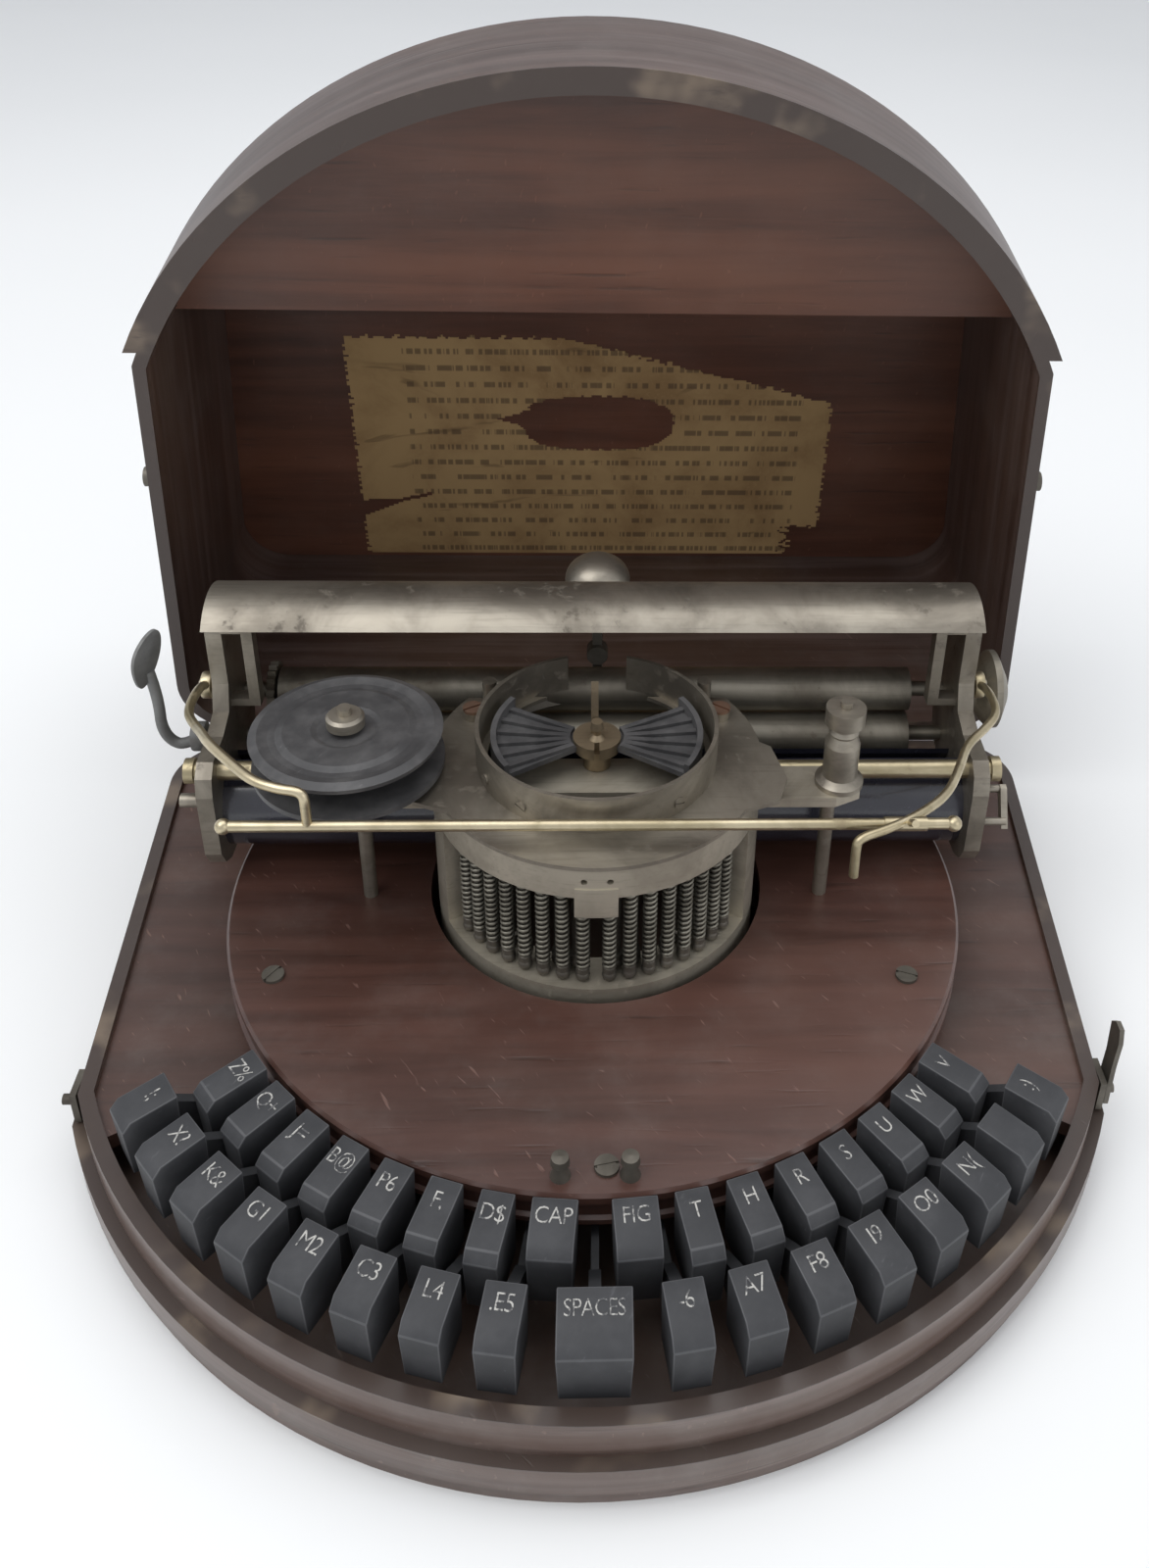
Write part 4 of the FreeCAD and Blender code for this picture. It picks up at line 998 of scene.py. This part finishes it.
class KeyKind(Enum):
    """The four kinds of key."""

    OUTER = KeyShape(0.181, 0.163, 0.0118, 0.0555, True)
    SPACE = KeyShape(0.181, 0.163, 0.021, 0.0555, True)
    INNER = KeyShape(0.158, 0.137, 0.0102, 0.0565, False)
    SHIFT = KeyShape(0.154, 0.137, 0.0135, 0.0565, False)


@dataclass
class Keyboard(Assembly):
    """Two curved rows of blocks on levers, with pale filled characters."""

    frame: dict[str, Any]
    finishes: Finishes
    pitch: float = 6.6
    outer_start: float = 8.5
    inner_start: float = 11.8
    shift_angle: float = 4.8
    under: float = 0.032
    slope: float = 0.0014
    bevel: float = 0.0030
    lever_half: float = 0.0012
    neck_half: float = 0.0018
    lever_low: float = 0.0295
    lever_high: float = 0.0355
    lever_inner: float = 0.064
    lever_start: float = 0.004
    foot_inset: float = 0.0010
    foot_share: float = 0.94
    edge_round: float = 0.00042
    letter: float = 0.0056
    small_letter: float = 0.0052
    letter_deep: float = 0.00012
    letter_thin: float = -0.00008
    letter_lift: float = 0.00006
    letter_narrow: float = 0.86
    letter_room: float = 0.80
    letter_spot: float = 0.33
    outer_left: tuple[str, ...] = (".E5", "L4", "C3", "M2", "G1", "K&", "X?", "!;")
    outer_right: tuple[str, ...] = ("-6", "A7", "F8", "I9", "O0", "N(", "", ":)")
    inner_left: tuple[str, ...] = ("D$", "F,", "P6", "B@", "J=", "Q+", "Z%")
    inner_right: tuple[str, ...] = ("T", "H", "R", "S", "U", "W", "V")

    def block(self, kind: KeyKind) -> bpy.types.Object:
        """Models one key at the front: its block, neck and lever.

        Args:
            kind: the key's kind.

        Returns:
            The key.
        """
        k = kind.value
        upright = (QUARTER, 0, QUARTER)
        low, high = self.lever_low, self.lever_high
        body = Bench.outline("key_model", [
            (-k.front + self.foot_inset, self.under), (-k.back - self.foot_inset, self.under),
            (-k.back, k.top), (-k.front + self.bevel, k.top - self.slope),
            (-k.front, k.top - self.slope - self.bevel)], k.width / 2, upright)
        Bench.pick(body, "FACE", lambda middle, normal: normal.z < -0.9)
        bpy.ops.transform.resize(value=(self.foot_share, 1, 1))
        Bench.done(body)
        body.data.materials.append(self.finishes["key_slate"])
        body.data.materials.append(self.finishes["key_rubbed"])
        Bench.rounded(body, self.edge_round, 2, 1)
        parts = [body]
        if k.neck:
            root = -k.back - 0.0015
            tail = -k.back + 0.018
            parts.append(Bench.outline("key_neck", [
                (root, low), (root, k.top - 0.005), (-k.back + 0.008, k.top - 0.012),
                (tail, high), (tail, low)], self.neck_half, upright))
        tip = -k.front + self.lever_start
        parts.append(Bench.outline("key_lever", [
            (tip, low), (tip, high), (-self.lever_inner, high), (-self.lever_inner, low)],
            self.lever_half, upright))
        for part in parts[1:]:
            Bench.dress(part, [self.finishes["key_slate"]])
        return Bench.smooth(Bench.join("key_model", parts))

    def legend(self, name: str, words: str, kind: KeyKind, angle: float) -> bpy.types.Object:
        """Cuts the characters of one key and lays them on its sloped top.

        Args:
            name: the piece's name.
            words: the characters.
            kind: the key's kind.
            angle: the key's angle from the front, in degrees.

        Returns:
            The characters as one mesh.
        """
        k = kind.value
        high = self.small_letter if kind is KeyKind.SPACE else self.letter
        Bench.take()
        bpy.ops.object.text_add(location=(0, 0, 0))
        text = bpy.context.object.data
        text.body = words
        text.size = high * 1.32
        text.space_character = 0.92
        text.align_x = "CENTER"
        text.align_y = "CENTER"
        text.extrude = self.letter_deep
        text.offset = self.letter_thin
        text.resolution_u = 3
        bpy.ops.object.convert(target="MESH")
        piece = Bench.named(name)
        length = k.front - k.back
        run = length - self.bevel
        middle = k.back + length * self.letter_spot
        rise = k.top - self.slope * (middle - k.back) / run
        narrow = min(self.letter_narrow, k.width * self.letter_room / piece.dimensions.x)
        piece.scale = (narrow, 1.0, 1.0)
        piece.rotation_euler = (math.atan2(self.slope, run), 0, 0)
        piece.location = (0, -middle, rise + self.letter_lift)
        Bench.settle(piece)
        piece.rotation_euler = (0, 0, math.radians(angle))
        Bench.settle(piece)
        Bench.dress(piece, [self.finishes["legend_filling"]])
        return piece

    def plan(self) -> list[tuple[str, float, KeyKind, str]]:
        """Lists every key.

        Returns:
            For each key its solid, its angle, its kind and its characters.
        """
        keys: list[tuple[str, float, KeyKind, str]] = [
            ("key_spaces", 0.0, KeyKind.SPACE, "SPACES"),
            ("key_cap", -self.shift_angle, KeyKind.SHIFT, "CAP"),
            ("key_fig", self.shift_angle, KeyKind.SHIFT, "FIG")]
        for side, label, outer, inner in ((-1, "l", self.outer_left, self.inner_left),
                                          (1, "r", self.outer_right, self.inner_right)):
            for k, words in enumerate(outer):
                keys.append((f"key_outer_{label}{k + 1}",
                             side * (self.outer_start + self.pitch * k), KeyKind.OUTER, words))
            for k, words in enumerate(inner):
                keys.append((f"key_inner_{label}{k + 1}",
                             side * (self.inner_start + self.pitch * k), KeyKind.INNER, words))
        return keys

    def build(self) -> None:
        """Builds all the keys."""
        models = {kind: self.block(kind) for kind in KeyKind}
        for node, angle, kind, words in self.plan():
            body = node + "_body"
            piece = Bench.copy(models[kind], node.replace("key_", "KeyBlock_"), spin=angle)
            Bench.finish(piece, body, "key_black", node)
            if words:
                mark = self.legend(node.replace("key_", "KeyMark_"), words, kind, angle)
                Bench.finish(mark, body, "key_black")
        Bench.discard(*models.values())


# Turret


@dataclass
class Turret(Assembly):
    """The pins with their coil springs, and the small fittings of the turret."""

    frame: dict[str, Any]
    finishes: Finishes
    circle: float = 0.0536
    inner_circle: float = 0.0475
    start: float = 4.8
    pitch: float = 7.4
    count: int = 8
    low: float = 0.057
    high: float = 0.0985
    pin: float = 0.00145
    foot: float = 0.0026
    coil: float = 0.00205
    coil_wire: float = 0.00055
    coil_low: float = 0.0625
    coil_turns: int = 16
    washer_tall: float = 0.0022
    washer_rise: float = 0.0048
    guide_circle: float = 0.0507
    guide_high: float = 0.0995
    guide: float = 0.0021
    guide_span: float = 124.0

    def angles(self) -> list[float]:
        """The angles of the front row of pins."""
        return [side * (self.start + self.pitch * k) for side in (-1, 1)
                for k in range(self.count)]

    def pin_model(self) -> bpy.types.Object:
        """Models one pin with its ball foot and its washer.

        Returns:
            The pin.
        """
        rod = Bench.cylinder("pin_rod", self.pin, self.high - self.low,
                             (0, 0, (self.high + self.low) / 2), 12)
        foot = Bench.ball("pin_foot", self.foot, (0, 0, self.low + self.foot * 0.8), 12)
        washer = Bench.cylinder("pin_washer", self.foot * 0.9, self.washer_tall,
                                (0, 0, self.low + self.washer_rise), 12)
        Bench.pick(Bench.settle(washer), "FACE", lambda middle, normal: normal.z > 0.9)
        bpy.ops.mesh.inset(thickness=self.foot * 0.3, depth=0.0006)
        Bench.done(washer)
        parts = [Bench.settle(rod), Bench.settle(foot), washer]
        return Bench.smooth(Bench.join("pin_model", parts))

    def coil_model(self) -> bpy.types.Object:
        """Winds one coil spring.

        Returns:
            The spring.
        """
        Bench.take()
        bpy.ops.mesh.primitive_circle_add(vertices=6, radius=self.coil_wire,
                                          location=(self.coil, 0, self.coil_low),
                                          rotation=(QUARTER, 0, 0))
        ring = Bench.settle(Bench.named("coil_model"))
        wind = ring.modifiers.new("wind", "SCREW")
        wind.axis = "Z"
        wind.angle = 2 * math.pi
        wind.screw_offset = (self.high - 0.001 - self.coil_low) / self.coil_turns
        wind.iterations = self.coil_turns
        wind.steps = 10
        wind.render_steps = 10
        Bench.take(ring)
        bpy.ops.object.modifier_apply(modifier=wind.name)
        return Bench.smooth(ring, 60)

    def pins(self) -> None:
        """Sets the two rows of pins, and the springs of the front row."""
        model, coil = self.pin_model(), self.coil_model()
        pins, coils = [], []
        last = self.start + self.pitch * (self.count - 1)
        for i, angle in enumerate(self.angles()):
            half = math.copysign(self.pitch / 2, angle)
            pins.append(Bench.copy(model, f"pin_a{i}", (0, -self.circle, 0), angle))
            coils.append(Bench.copy(coil, f"coil_a{i}", (0, -self.circle, 0), angle))
            if abs(angle) < last - 1:
                pins.append(Bench.copy(model, f"pin_b{i}", (0, -self.inner_circle, 0),
                                       angle + half))
        for name, parts, coat in (("IndexPins", pins, "dark_steel"),
                                  ("IndexSprings", coils, "spring_steel")):
            piece = Bench.join(name, parts)
            Bench.dress(piece, [self.finishes[coat]])
            Bench.finish(piece, "case_base", "dark_steel", "index_pins")
        Bench.discard(model, coil)

    def collar(self) -> None:
        """The guide strip behind the fascia that the pins run through."""
        Bench.take()
        bpy.ops.mesh.primitive_circle_add(vertices=4, radius=self.guide,
                                          location=(0, -self.guide_circle, self.guide_high),
                                          rotation=(0, QUARTER, 0))
        strip = Bench.settle(Bench.named("PinGuide"))
        Bench.pick(strip, "EDGE", lambda middle, way: True)
        bpy.ops.mesh.edge_face_add()
        bpy.ops.mesh.spin(steps=32, angle=math.radians(self.guide_span), center=(0, 0, 0),
                          axis=(0, 0, 1))
        Bench.done(strip)
        strip.rotation_euler = (0, 0, math.radians(-self.guide_span / 2))
        Bench.settle(strip)
        Bench.pick(strip, "FACE", lambda middle, normal: True)
        bpy.ops.mesh.normals_make_consistent(inside=False)
        Bench.done(strip)
        Bench.dress(strip, [self.finishes["dark_steel"]])
        Bench.smooth(strip)
        Bench.finish(strip, "case_base", "dark_steel", "index_pins")

    def build(self) -> None:
        """Builds the turret's pieces."""
        self.pins()
        self.collar()


# Screws


@dataclass
class BellDome(Assembly):
    """The round dome of the bell behind the cover."""

    frame: dict[str, Any]
    finishes: Finishes
    radius: float = 0.0132
    place: Point = (0.0, 0.0912, 0.1300)
    squash: float = 0.78
    sides: int = 40

    def build(self) -> None:
        """Builds the dome over the solid bell."""
        dome = Bench.ball("BellDome", self.radius, self.place, self.sides)
        dome.scale = (1, 1, self.squash)
        Bench.settle(dome)
        Bench.dress(dome, [self.finishes["old_nickel"]])
        Bench.smooth(dome)
        Bench.finish(dome, "case_base", "nickel")


@dataclass(frozen=True)
class Head:
    """One kind of slotted head: its sizes, its finish and its slot in the record."""

    name: str
    radius: float
    tall: float
    slot: float
    coat: str
    record_slot: str


@dataclass
class Screws(Assembly):
    """Slotted screw heads on the metal and on the disc."""

    frame: dict[str, Any]
    finishes: Finishes
    disc: Head = Head("DiscScrew", 0.0038, 0.0012, 0.0005, "dark_steel", "dark_steel")
    plate: Head = Head("PlateScrew", 0.0038, 0.0011, 0.00045, "copper_screw", "nickel")
    ring: Head = Head("RingScrew", 0.0021, 0.0007, 0.0003, "old_nickel", "nickel")
    disc_top: float = 0.0535
    disc_spots: tuple[Point, ...] = ((-0.1108, -0.0479, 55), (0.1079, -0.0504, -20),
                                     (0.0034, -0.1245, 12))
    plate_top: float = 0.115
    plate_spots: tuple[Point, ...] = ((-0.0455, 0.022, 30), (0.0455, 0.022, -35))
    ring_radius: float = 0.0428
    ring_high: float = 0.1165
    ring_angles: tuple[float, ...] = (-62.0, -36.0, 40.0)
    ring_roll: float = 20.0

    def model(self, head: Head) -> bpy.types.Object:
        """Models one slotted head standing on the origin.

        Args:
            head: the kind of head.

        Returns:
            The head.
        """
        piece = Bench.settle(Bench.cylinder("screw_model", head.radius, head.tall,
                                            (0, 0, head.tall / 2), 28))
        Bench.pick(piece, "FACE", lambda middle, normal: True)
        bpy.ops.mesh.bisect(plane_co=(0, head.slot, 0), plane_no=(0, 1, 0))
        bpy.ops.mesh.select_all(action="SELECT")
        bpy.ops.mesh.bisect(plane_co=(0, -head.slot, 0), plane_no=(0, 1, 0))
        Bench.done(piece)
        Bench.pick(piece, "FACE",
                   lambda middle, normal: normal.z > 0.9 and abs(middle.y) < head.slot * 0.9)
        sink = (0, 0, -head.tall * 0.55)
        bpy.ops.mesh.extrude_region_move(TRANSFORM_OT_translate={"value": sink})
        Bench.done(piece)
        return Bench.smooth(piece, 30)

    def places(self, head: Head) -> list[tuple[Point, Point]]:
        """Lists where the heads of one kind sit.

        Args:
            head: the kind of head.

        Returns:
            The place and the turn of each.
        """
        if head is self.ring:
            found = []
            for angle in self.ring_angles:
                turn = math.radians(angle)
                found.append(((self.ring_radius * math.sin(turn),
                               -self.ring_radius * math.cos(turn), self.ring_high),
                              (QUARTER, math.radians(self.ring_roll), turn)))
            return found
        spots, top = ((self.disc_spots, self.disc_top) if head is self.disc
                      else (self.plate_spots, self.plate_top))
        return [((x, y, top), (0, 0, math.radians(spin))) for x, y, spin in spots]

    def build(self) -> None:
        """Sets the screws of the disc, the top plate and the guard ring."""
        for head in (self.disc, self.plate, self.ring):
            model = self.model(head)
            for i, (place, turn) in enumerate(self.places(head)):
                piece = Bench.twin(model, f"{head.name}_{i}", place, turn)
                Bench.dress(piece, [self.finishes[head.coat]])
                Bench.finish(piece, "case_base", head.record_slot)
            Bench.discard(model)


# Wires and lever


@dataclass
class PaperBail(Assembly):
    """The bright rod across the turret on its two curved arms."""

    frame: dict[str, Any]
    finishes: Finishes
    pivot: Point = (0.147, 0.042, 0.112)
    rod_y: float = -0.047
    rod_z: float = 0.119
    left: float = -0.120
    right: float = 0.117
    radius: float = 0.0019
    right_foot: float = 0.096
    left_arm: tuple[Point, ...] = (
        (-0.147, 0.042, 0.112), (-0.147, 0.036, 0.1165), (-0.147, 0.024, 0.1195),
        (-0.1465, 0.0130, 0.1198), (-0.1410, 0.0040, 0.1205), (-0.1355, -0.0080, 0.1275),
        (-0.1290, -0.0220, 0.1335), (-0.1180, -0.0340, 0.1335), (-0.1099, -0.0419, 0.1332),
        (-0.1012, -0.0452, 0.1328), (-0.095, -0.046, 0.1325), (-0.093, -0.047, 0.1310),
        (-0.093, -0.047, 0.1260), (-0.093, -0.047, 0.119))
    right_arm: tuple[Point, ...] = (
        (0.147, 0.042, 0.112), (0.147, 0.036, 0.1160), (0.147, 0.024, 0.1192),
        (0.1465, 0.0130, 0.1193), (0.1395, 0.0040, 0.1190), (0.1310, -0.0050, 0.1190),
        (0.1255, -0.0180, 0.1190), (0.1180, -0.0330, 0.1195), (0.1060, -0.0440, 0.1200),
        (0.094, -0.0510, 0.1200), (0.0845, -0.0540, 0.1190), (0.0838, -0.0545, 0.1150),
        (0.084, -0.0550, 0.1040))
    left_wire: float = 0.0017
    right_wire: float = 0.0016
    tie_wire: float = 0.0013
    tip_more: float = 0.0008
    sleeve_more: float = 0.0005
    sleeve_long: float = 0.014
    eye: float = 0.0052
    eye_thick: float = 0.004

    def build(self) -> None:
        """Builds the bail."""
        px, py, pz = self.pivot
        y, z, foot = self.rod_y, self.rod_z, self.right_foot
        across = (0, QUARTER, 0)
        left = Bench.wire("bail_left", self.left_arm, self.left_wire)
        right = Bench.wire("bail_right", self.right_arm, self.right_wire)
        rod = Bench.settle(Bench.cylinder("bail_rod", self.radius, self.right - self.left,
                                          ((self.left + self.right) / 2, y, z), 20, across))
        tip = self.radius + self.tip_more
        tips = [Bench.settle(Bench.ball(f"bail_tip{i}", tip, (x, y, z), 16))
                for i, x in enumerate((self.left, self.right))]
        sleeve = Bench.settle(Bench.cylinder("bail_sleeve", self.radius + self.sleeve_more,
                                             self.sleeve_long, (foot + 0.005, y, z), 16, across))
        tie = Bench.wire("bail_tie", [(foot + 0.006, y, z), (foot + 0.0065, y - 0.002, z + 0.0025),
                                      (foot + 0.007, y - 0.0048, z + 0.004)], self.tie_wire)
        eyes = [Bench.rounded(Bench.settle(Bench.cylinder(
            f"bail_eye{i}", self.eye, self.eye_thick, (side * px, py, pz), 24, across)), 0.0006, 2)
            for i, side in enumerate((-1, 1))]
        bail = Bench.join("PaperBail", [rod, left, right, sleeve, tie, *tips, *eyes])
        Bench.dress(bail, [self.finishes["yellow_wire"]])
        Bench.smooth(bail)
        Bench.finish(bail, "bail", "brass", "paper_bail")


@dataclass
class ReturnLever(Assembly):
    """The bent hand lever at the left end of the carriage, ending in a leaf."""

    frame: dict[str, Any]
    finishes: Finishes
    hub: Point = (-0.1475, 0.026, 0.100)
    stem: tuple[Point, ...] = (
        (0.0, 0.0, 0.0), (-0.006, -0.001, -0.0035), (-0.011, -0.001, -0.001),
        (-0.013, -0.002, 0.006), (-0.0125, -0.002, 0.015), (-0.0135, -0.001, 0.024),
        (-0.0145, -0.001, 0.030))
    stem_wire: float = 0.0021
    leaf: tuple[tuple[float, float], ...] = (
        (-0.0115, 0.0), (-0.009, 0.0030), (-0.002, 0.0078), (0.006, 0.0066), (0.013, 0.0012),
        (0.0105, -0.0030), (0.002, -0.0048), (-0.007, -0.0032))
    leaf_half: float = 0.0007
    leaf_place: Point = (-0.0140, -0.001, 0.0345)
    leaf_turn: Point = (90.0, -62.0, 58.0)
    hub_radius: float = 0.0056
    hub_thick: float = 0.0052

    def from_hub(self, step: Point) -> Point:
        """The place a step away from the hub."""
        x, y, z = (a + b for a, b in zip(self.hub, step))
        return (x, y, z)

    def build(self) -> None:
        """Builds the lever."""
        stem = Bench.wire("lever_stem", [self.from_hub(step) for step in self.stem],
                          self.stem_wire)
        tilt, lean, swing = (math.radians(v) for v in self.leaf_turn)
        leaf = Bench.outline("lever_leaf", self.leaf, self.leaf_half, (tilt, lean, swing),
                             self.from_hub(self.leaf_place), curved=True)
        Bench.rounded(leaf, 0.0004, 2)
        hub = Bench.settle(Bench.cylinder("lever_hub", self.hub_radius, self.hub_thick,
                                          self.from_hub((-0.0002, 0.0, 0.0)), 28,
                                          (0, QUARTER, 0)))
        Bench.rounded(hub, 0.0007, 2)
        lever = Bench.join("ReturnLever", [stem, leaf, hub])
        Bench.dress(lever, [self.finishes["grey_lever"]])
        Bench.smooth(lever)
        Bench.finish(lever, "lever", "nickel", "return_lever")


# Lid sheet


@dataclass
class LidSheet(Assembly):
    """The torn browned sheet pasted on the deep panel of the lid, without readable words."""

    frame: dict[str, Any]
    finishes: Finishes
    panel_z: float = 0.1538
    middle_y: float = 0.045
    left: float = -0.118
    right: float = 0.114
    low: float = -0.058
    high: float = 0.070
    thick: float = 0.00025
    cells: tuple[int, int] = (190, 116)
    top: float = 0.0685
    slant_from: float = -0.015
    slant_long: float = 0.122
    slant_fall: float = 0.033
    hole_half: tuple[float, float] = (0.0366, 0.0155)
    hole_high: float = 0.022
    hole_square: float = 2.6
    flap: tuple[float, float, float] = (-0.049, -0.034, 0.024)
    slit_low: float = -0.025
    slit_end: float = -0.083
    slit_half: float = 0.0011
    notch: tuple[float, float] = (0.096, -0.040)

    def kept(self, x: float, y: float) -> bool:
        """Whether the paper is still there.

        Args:
            x: across the lid, from the middle.
            y: up the panel, from the sheet's own middle line.

        Returns:
            True where there is paper.
        """
        rag = 0.0008 * math.sin(x * 900 + 3 * math.sin(y * 700))
        rag += 0.0005 * math.sin(y * 1900 + x * 400)
        slant = max(0.0, (x - self.slant_from) / self.slant_long)
        if y > self.top - self.slant_fall * slant + rag:
            return False
        if x < self.left + 0.001 + rag or x > self.right - 0.002 + rag:
            return False
        wide, tall = self.hole_half
        hole = ((abs(x) / wide) ** self.hole_square
                + (abs(y - self.hole_high) / tall) ** self.hole_square)
        if hole < 1 + 60 * rag:
            return False
        start, end, high = self.flap
        if start < x < end and abs(y - high) < 0.30 * (x - start):
            return False
        slit = self.slit_half + 0.20 * max(0.0, -0.098 - x)
        if x < self.slit_end and abs(y - self.slit_low - 0.26 * (x + 0.10)) < slit:
            return False
        across, down = self.notch
        return not (x > across + 3 * rag and y < down + rag)

    def build(self) -> None:
        """Builds the sheet flat on the closed lid's panel, then swings it open with the lid."""
        Bench.take()
        nx, ny = self.cells
        bpy.ops.mesh.primitive_grid_add(x_subdivisions=nx, y_subdivisions=ny, size=1)
        sheet = Bench.named("LidSheet")
        sheet.scale = (self.right - self.left, self.high - self.low, 1)
        sheet.location = ((self.right + self.left) / 2, (self.high + self.low) / 2, 0)
        Bench.settle(sheet)
        Bench.pick(sheet, "FACE", lambda middle, normal: not self.kept(middle.x, middle.y))
        bpy.ops.mesh.delete(type="FACE")
        Bench.done(sheet)
        solid = sheet.modifiers.new("thickness", "SOLIDIFY")
        solid.thickness = self.thick
        solid.offset = -1
        Bench.take(sheet)
        bpy.ops.object.modifier_apply(modifier=solid.name)
        shut = (Matrix.Translation((0, self.middle_y, self.panel_z - 0.0002))
                @ Matrix.Rotation(math.radians(180), 4, "X"))
        hinge = Vector(HINGE)
        swing = (Matrix.Translation(hinge) @ Matrix.Rotation(-math.radians(LID_OPEN), 4, "X")
                 @ Matrix.Translation(-hinge))
        sheet.data.transform(swing @ shut)
        Bench.pick(sheet, "FACE", lambda middle, normal: True)
        bpy.ops.mesh.normals_make_consistent(inside=False)
        Bench.done(sheet)
        Bench.dress(sheet, [self.finishes["browned_paper"]])
        Bench.finish(sheet, "lid", "disc_wood")


# Studio


@dataclass(frozen=True)
class Lamp:
    """A square soft lamp: its place, the spot it looks at, its size and its power."""

    name: str
    place: Point
    aim: Point
    size: float
    power: float


@dataclass
class Studio:
    """The pale floor, the soft lamps and the camera."""

    eye: Point = (0.0, -0.3994, 0.4214)
    pitch: float = 28.93
    yaw: float = 2.56
    roll: float = 1.46
    lens: float = 32.1345
    shift: tuple[float, float] = (-0.04975, -0.15831)
    world: float = 0.74
    sky: Colour = (0.93, 0.95, 1.0)
    paper: tuple[Colour, Colour] = ((0.88, 0.885, 0.88), (0.82, 0.83, 0.825))
    lamp_plan: tuple[Lamp, ...] = (
        Lamp("KeyLamp", (-0.9, -0.5, 1.7), (0, 0, 0.05), 1.3, 15.0),
        Lamp("TopLamp", (0.3, 0.3, 2.1), (0, 0.05, 0.05), 1.6, 12.0),
        Lamp("FillLamp", (1.2, -1.2, 0.9), (0, 0, 0.1), 1.2, 4.0))

    def floor(self) -> None:
        """Lays the floor, curved up behind as a backdrop."""
        Bench.take()
        bpy.ops.mesh.primitive_plane_add(size=8.0, location=(0, 1.5, 0))
        floor = Bench.named("StudioFloor")
        Bench.pick(floor, "EDGE", lambda middle, way: middle.y > 3.9)
        bpy.ops.mesh.extrude_region_move(TRANSFORM_OT_translate={"value": (0, 0, 5)})
        Bench.done(floor)
        Bench.settle(floor)
        bend = floor.modifiers.new("sweep", "BEVEL")
        bend.width = 1.2
        bend.segments = 12
        bend.limit_method = "ANGLE"
        Bench.take(floor)
        bpy.ops.object.modifier_apply(modifier=bend.name)
        Bench.smooth(floor, 60)
        g = Graph("studio_paper")
        g.feed("Base Color", g.mix(*self.paper, g.cells(1.5, 2.0, 0.5)))
        g.feed("Roughness", 0.85)
        Bench.dress(floor, [g.material])

    def lamps(self) -> None:
        """Hangs the soft lamps and sets the world."""
        for plan in self.lamp_plan:
            lamp = bpy.data.lights.new(plan.name, "AREA")
            lamp.size = plan.size
            lamp.energy = plan.power
            holder = bpy.data.objects.new(plan.name, lamp)
            bpy.context.scene.collection.objects.link(holder)
            holder.location = plan.place
            way = Vector(plan.aim) - Vector(plan.place)
            holder.rotation_euler = way.to_track_quat("-Z", "Y").to_euler()
        world = bpy.data.worlds.new("StudioWorld")
        world.use_nodes = True
        sky = world.node_tree.nodes["Background"]
        sky.inputs[0].default_value = (*self.sky, 1)
        sky.inputs[1].default_value = self.world
        bpy.context.scene.world = world

    def camera(self) -> None:
        """Sets the camera where the photograph was taken from."""
        data = bpy.data.cameras.new("StudioCamera")
        data.sensor_width = 36.0
        data.sensor_fit = "AUTO"
        data.lens = self.lens
        data.shift_x, data.shift_y = self.shift
        data.clip_start = 0.01
        holder = bpy.data.objects.new("StudioCamera", data)
        bpy.context.scene.collection.objects.link(holder)
        p, a, r = (math.radians(v) for v in (self.pitch, self.yaw, self.roll))
        ahead = Vector((math.sin(a) * math.cos(p), math.cos(a) * math.cos(p), -math.sin(p)))
        right = ahead.cross(Vector((0, 0, 1))).normalized()
        up = right.cross(ahead)
        across = math.cos(r) * right + math.sin(r) * up
        above = -math.sin(r) * right + math.cos(r) * up
        turn = Matrix((across, above, -ahead)).transposed().to_4x4()
        holder.matrix_world = Matrix.Translation(self.eye) @ turn
        bpy.context.scene.camera = holder

    def build(self) -> None:
        """Builds the studio."""
        self.floor()
        self.lamps()
        self.camera()
        bpy.context.scene.view_settings.view_transform = "Standard"


def main() -> None:
    """Builds the sub-assemblies in order, then the studio."""
    logging.basicConfig(level=logging.INFO, format="%(name)s: %(message)s")
    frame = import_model()
    Bench.take()
    finishes = Finishes()
    for kind in (Solids, Keyboard, Turret, BellDome, Screws, PaperBail, ReturnLever, LidSheet):
        LOG.info("building %s", kind.__name__)
        kind(frame, finishes).build()
    Studio().build()
    LOG.info("boxes kept")


if __name__ == "__main__":
    main()
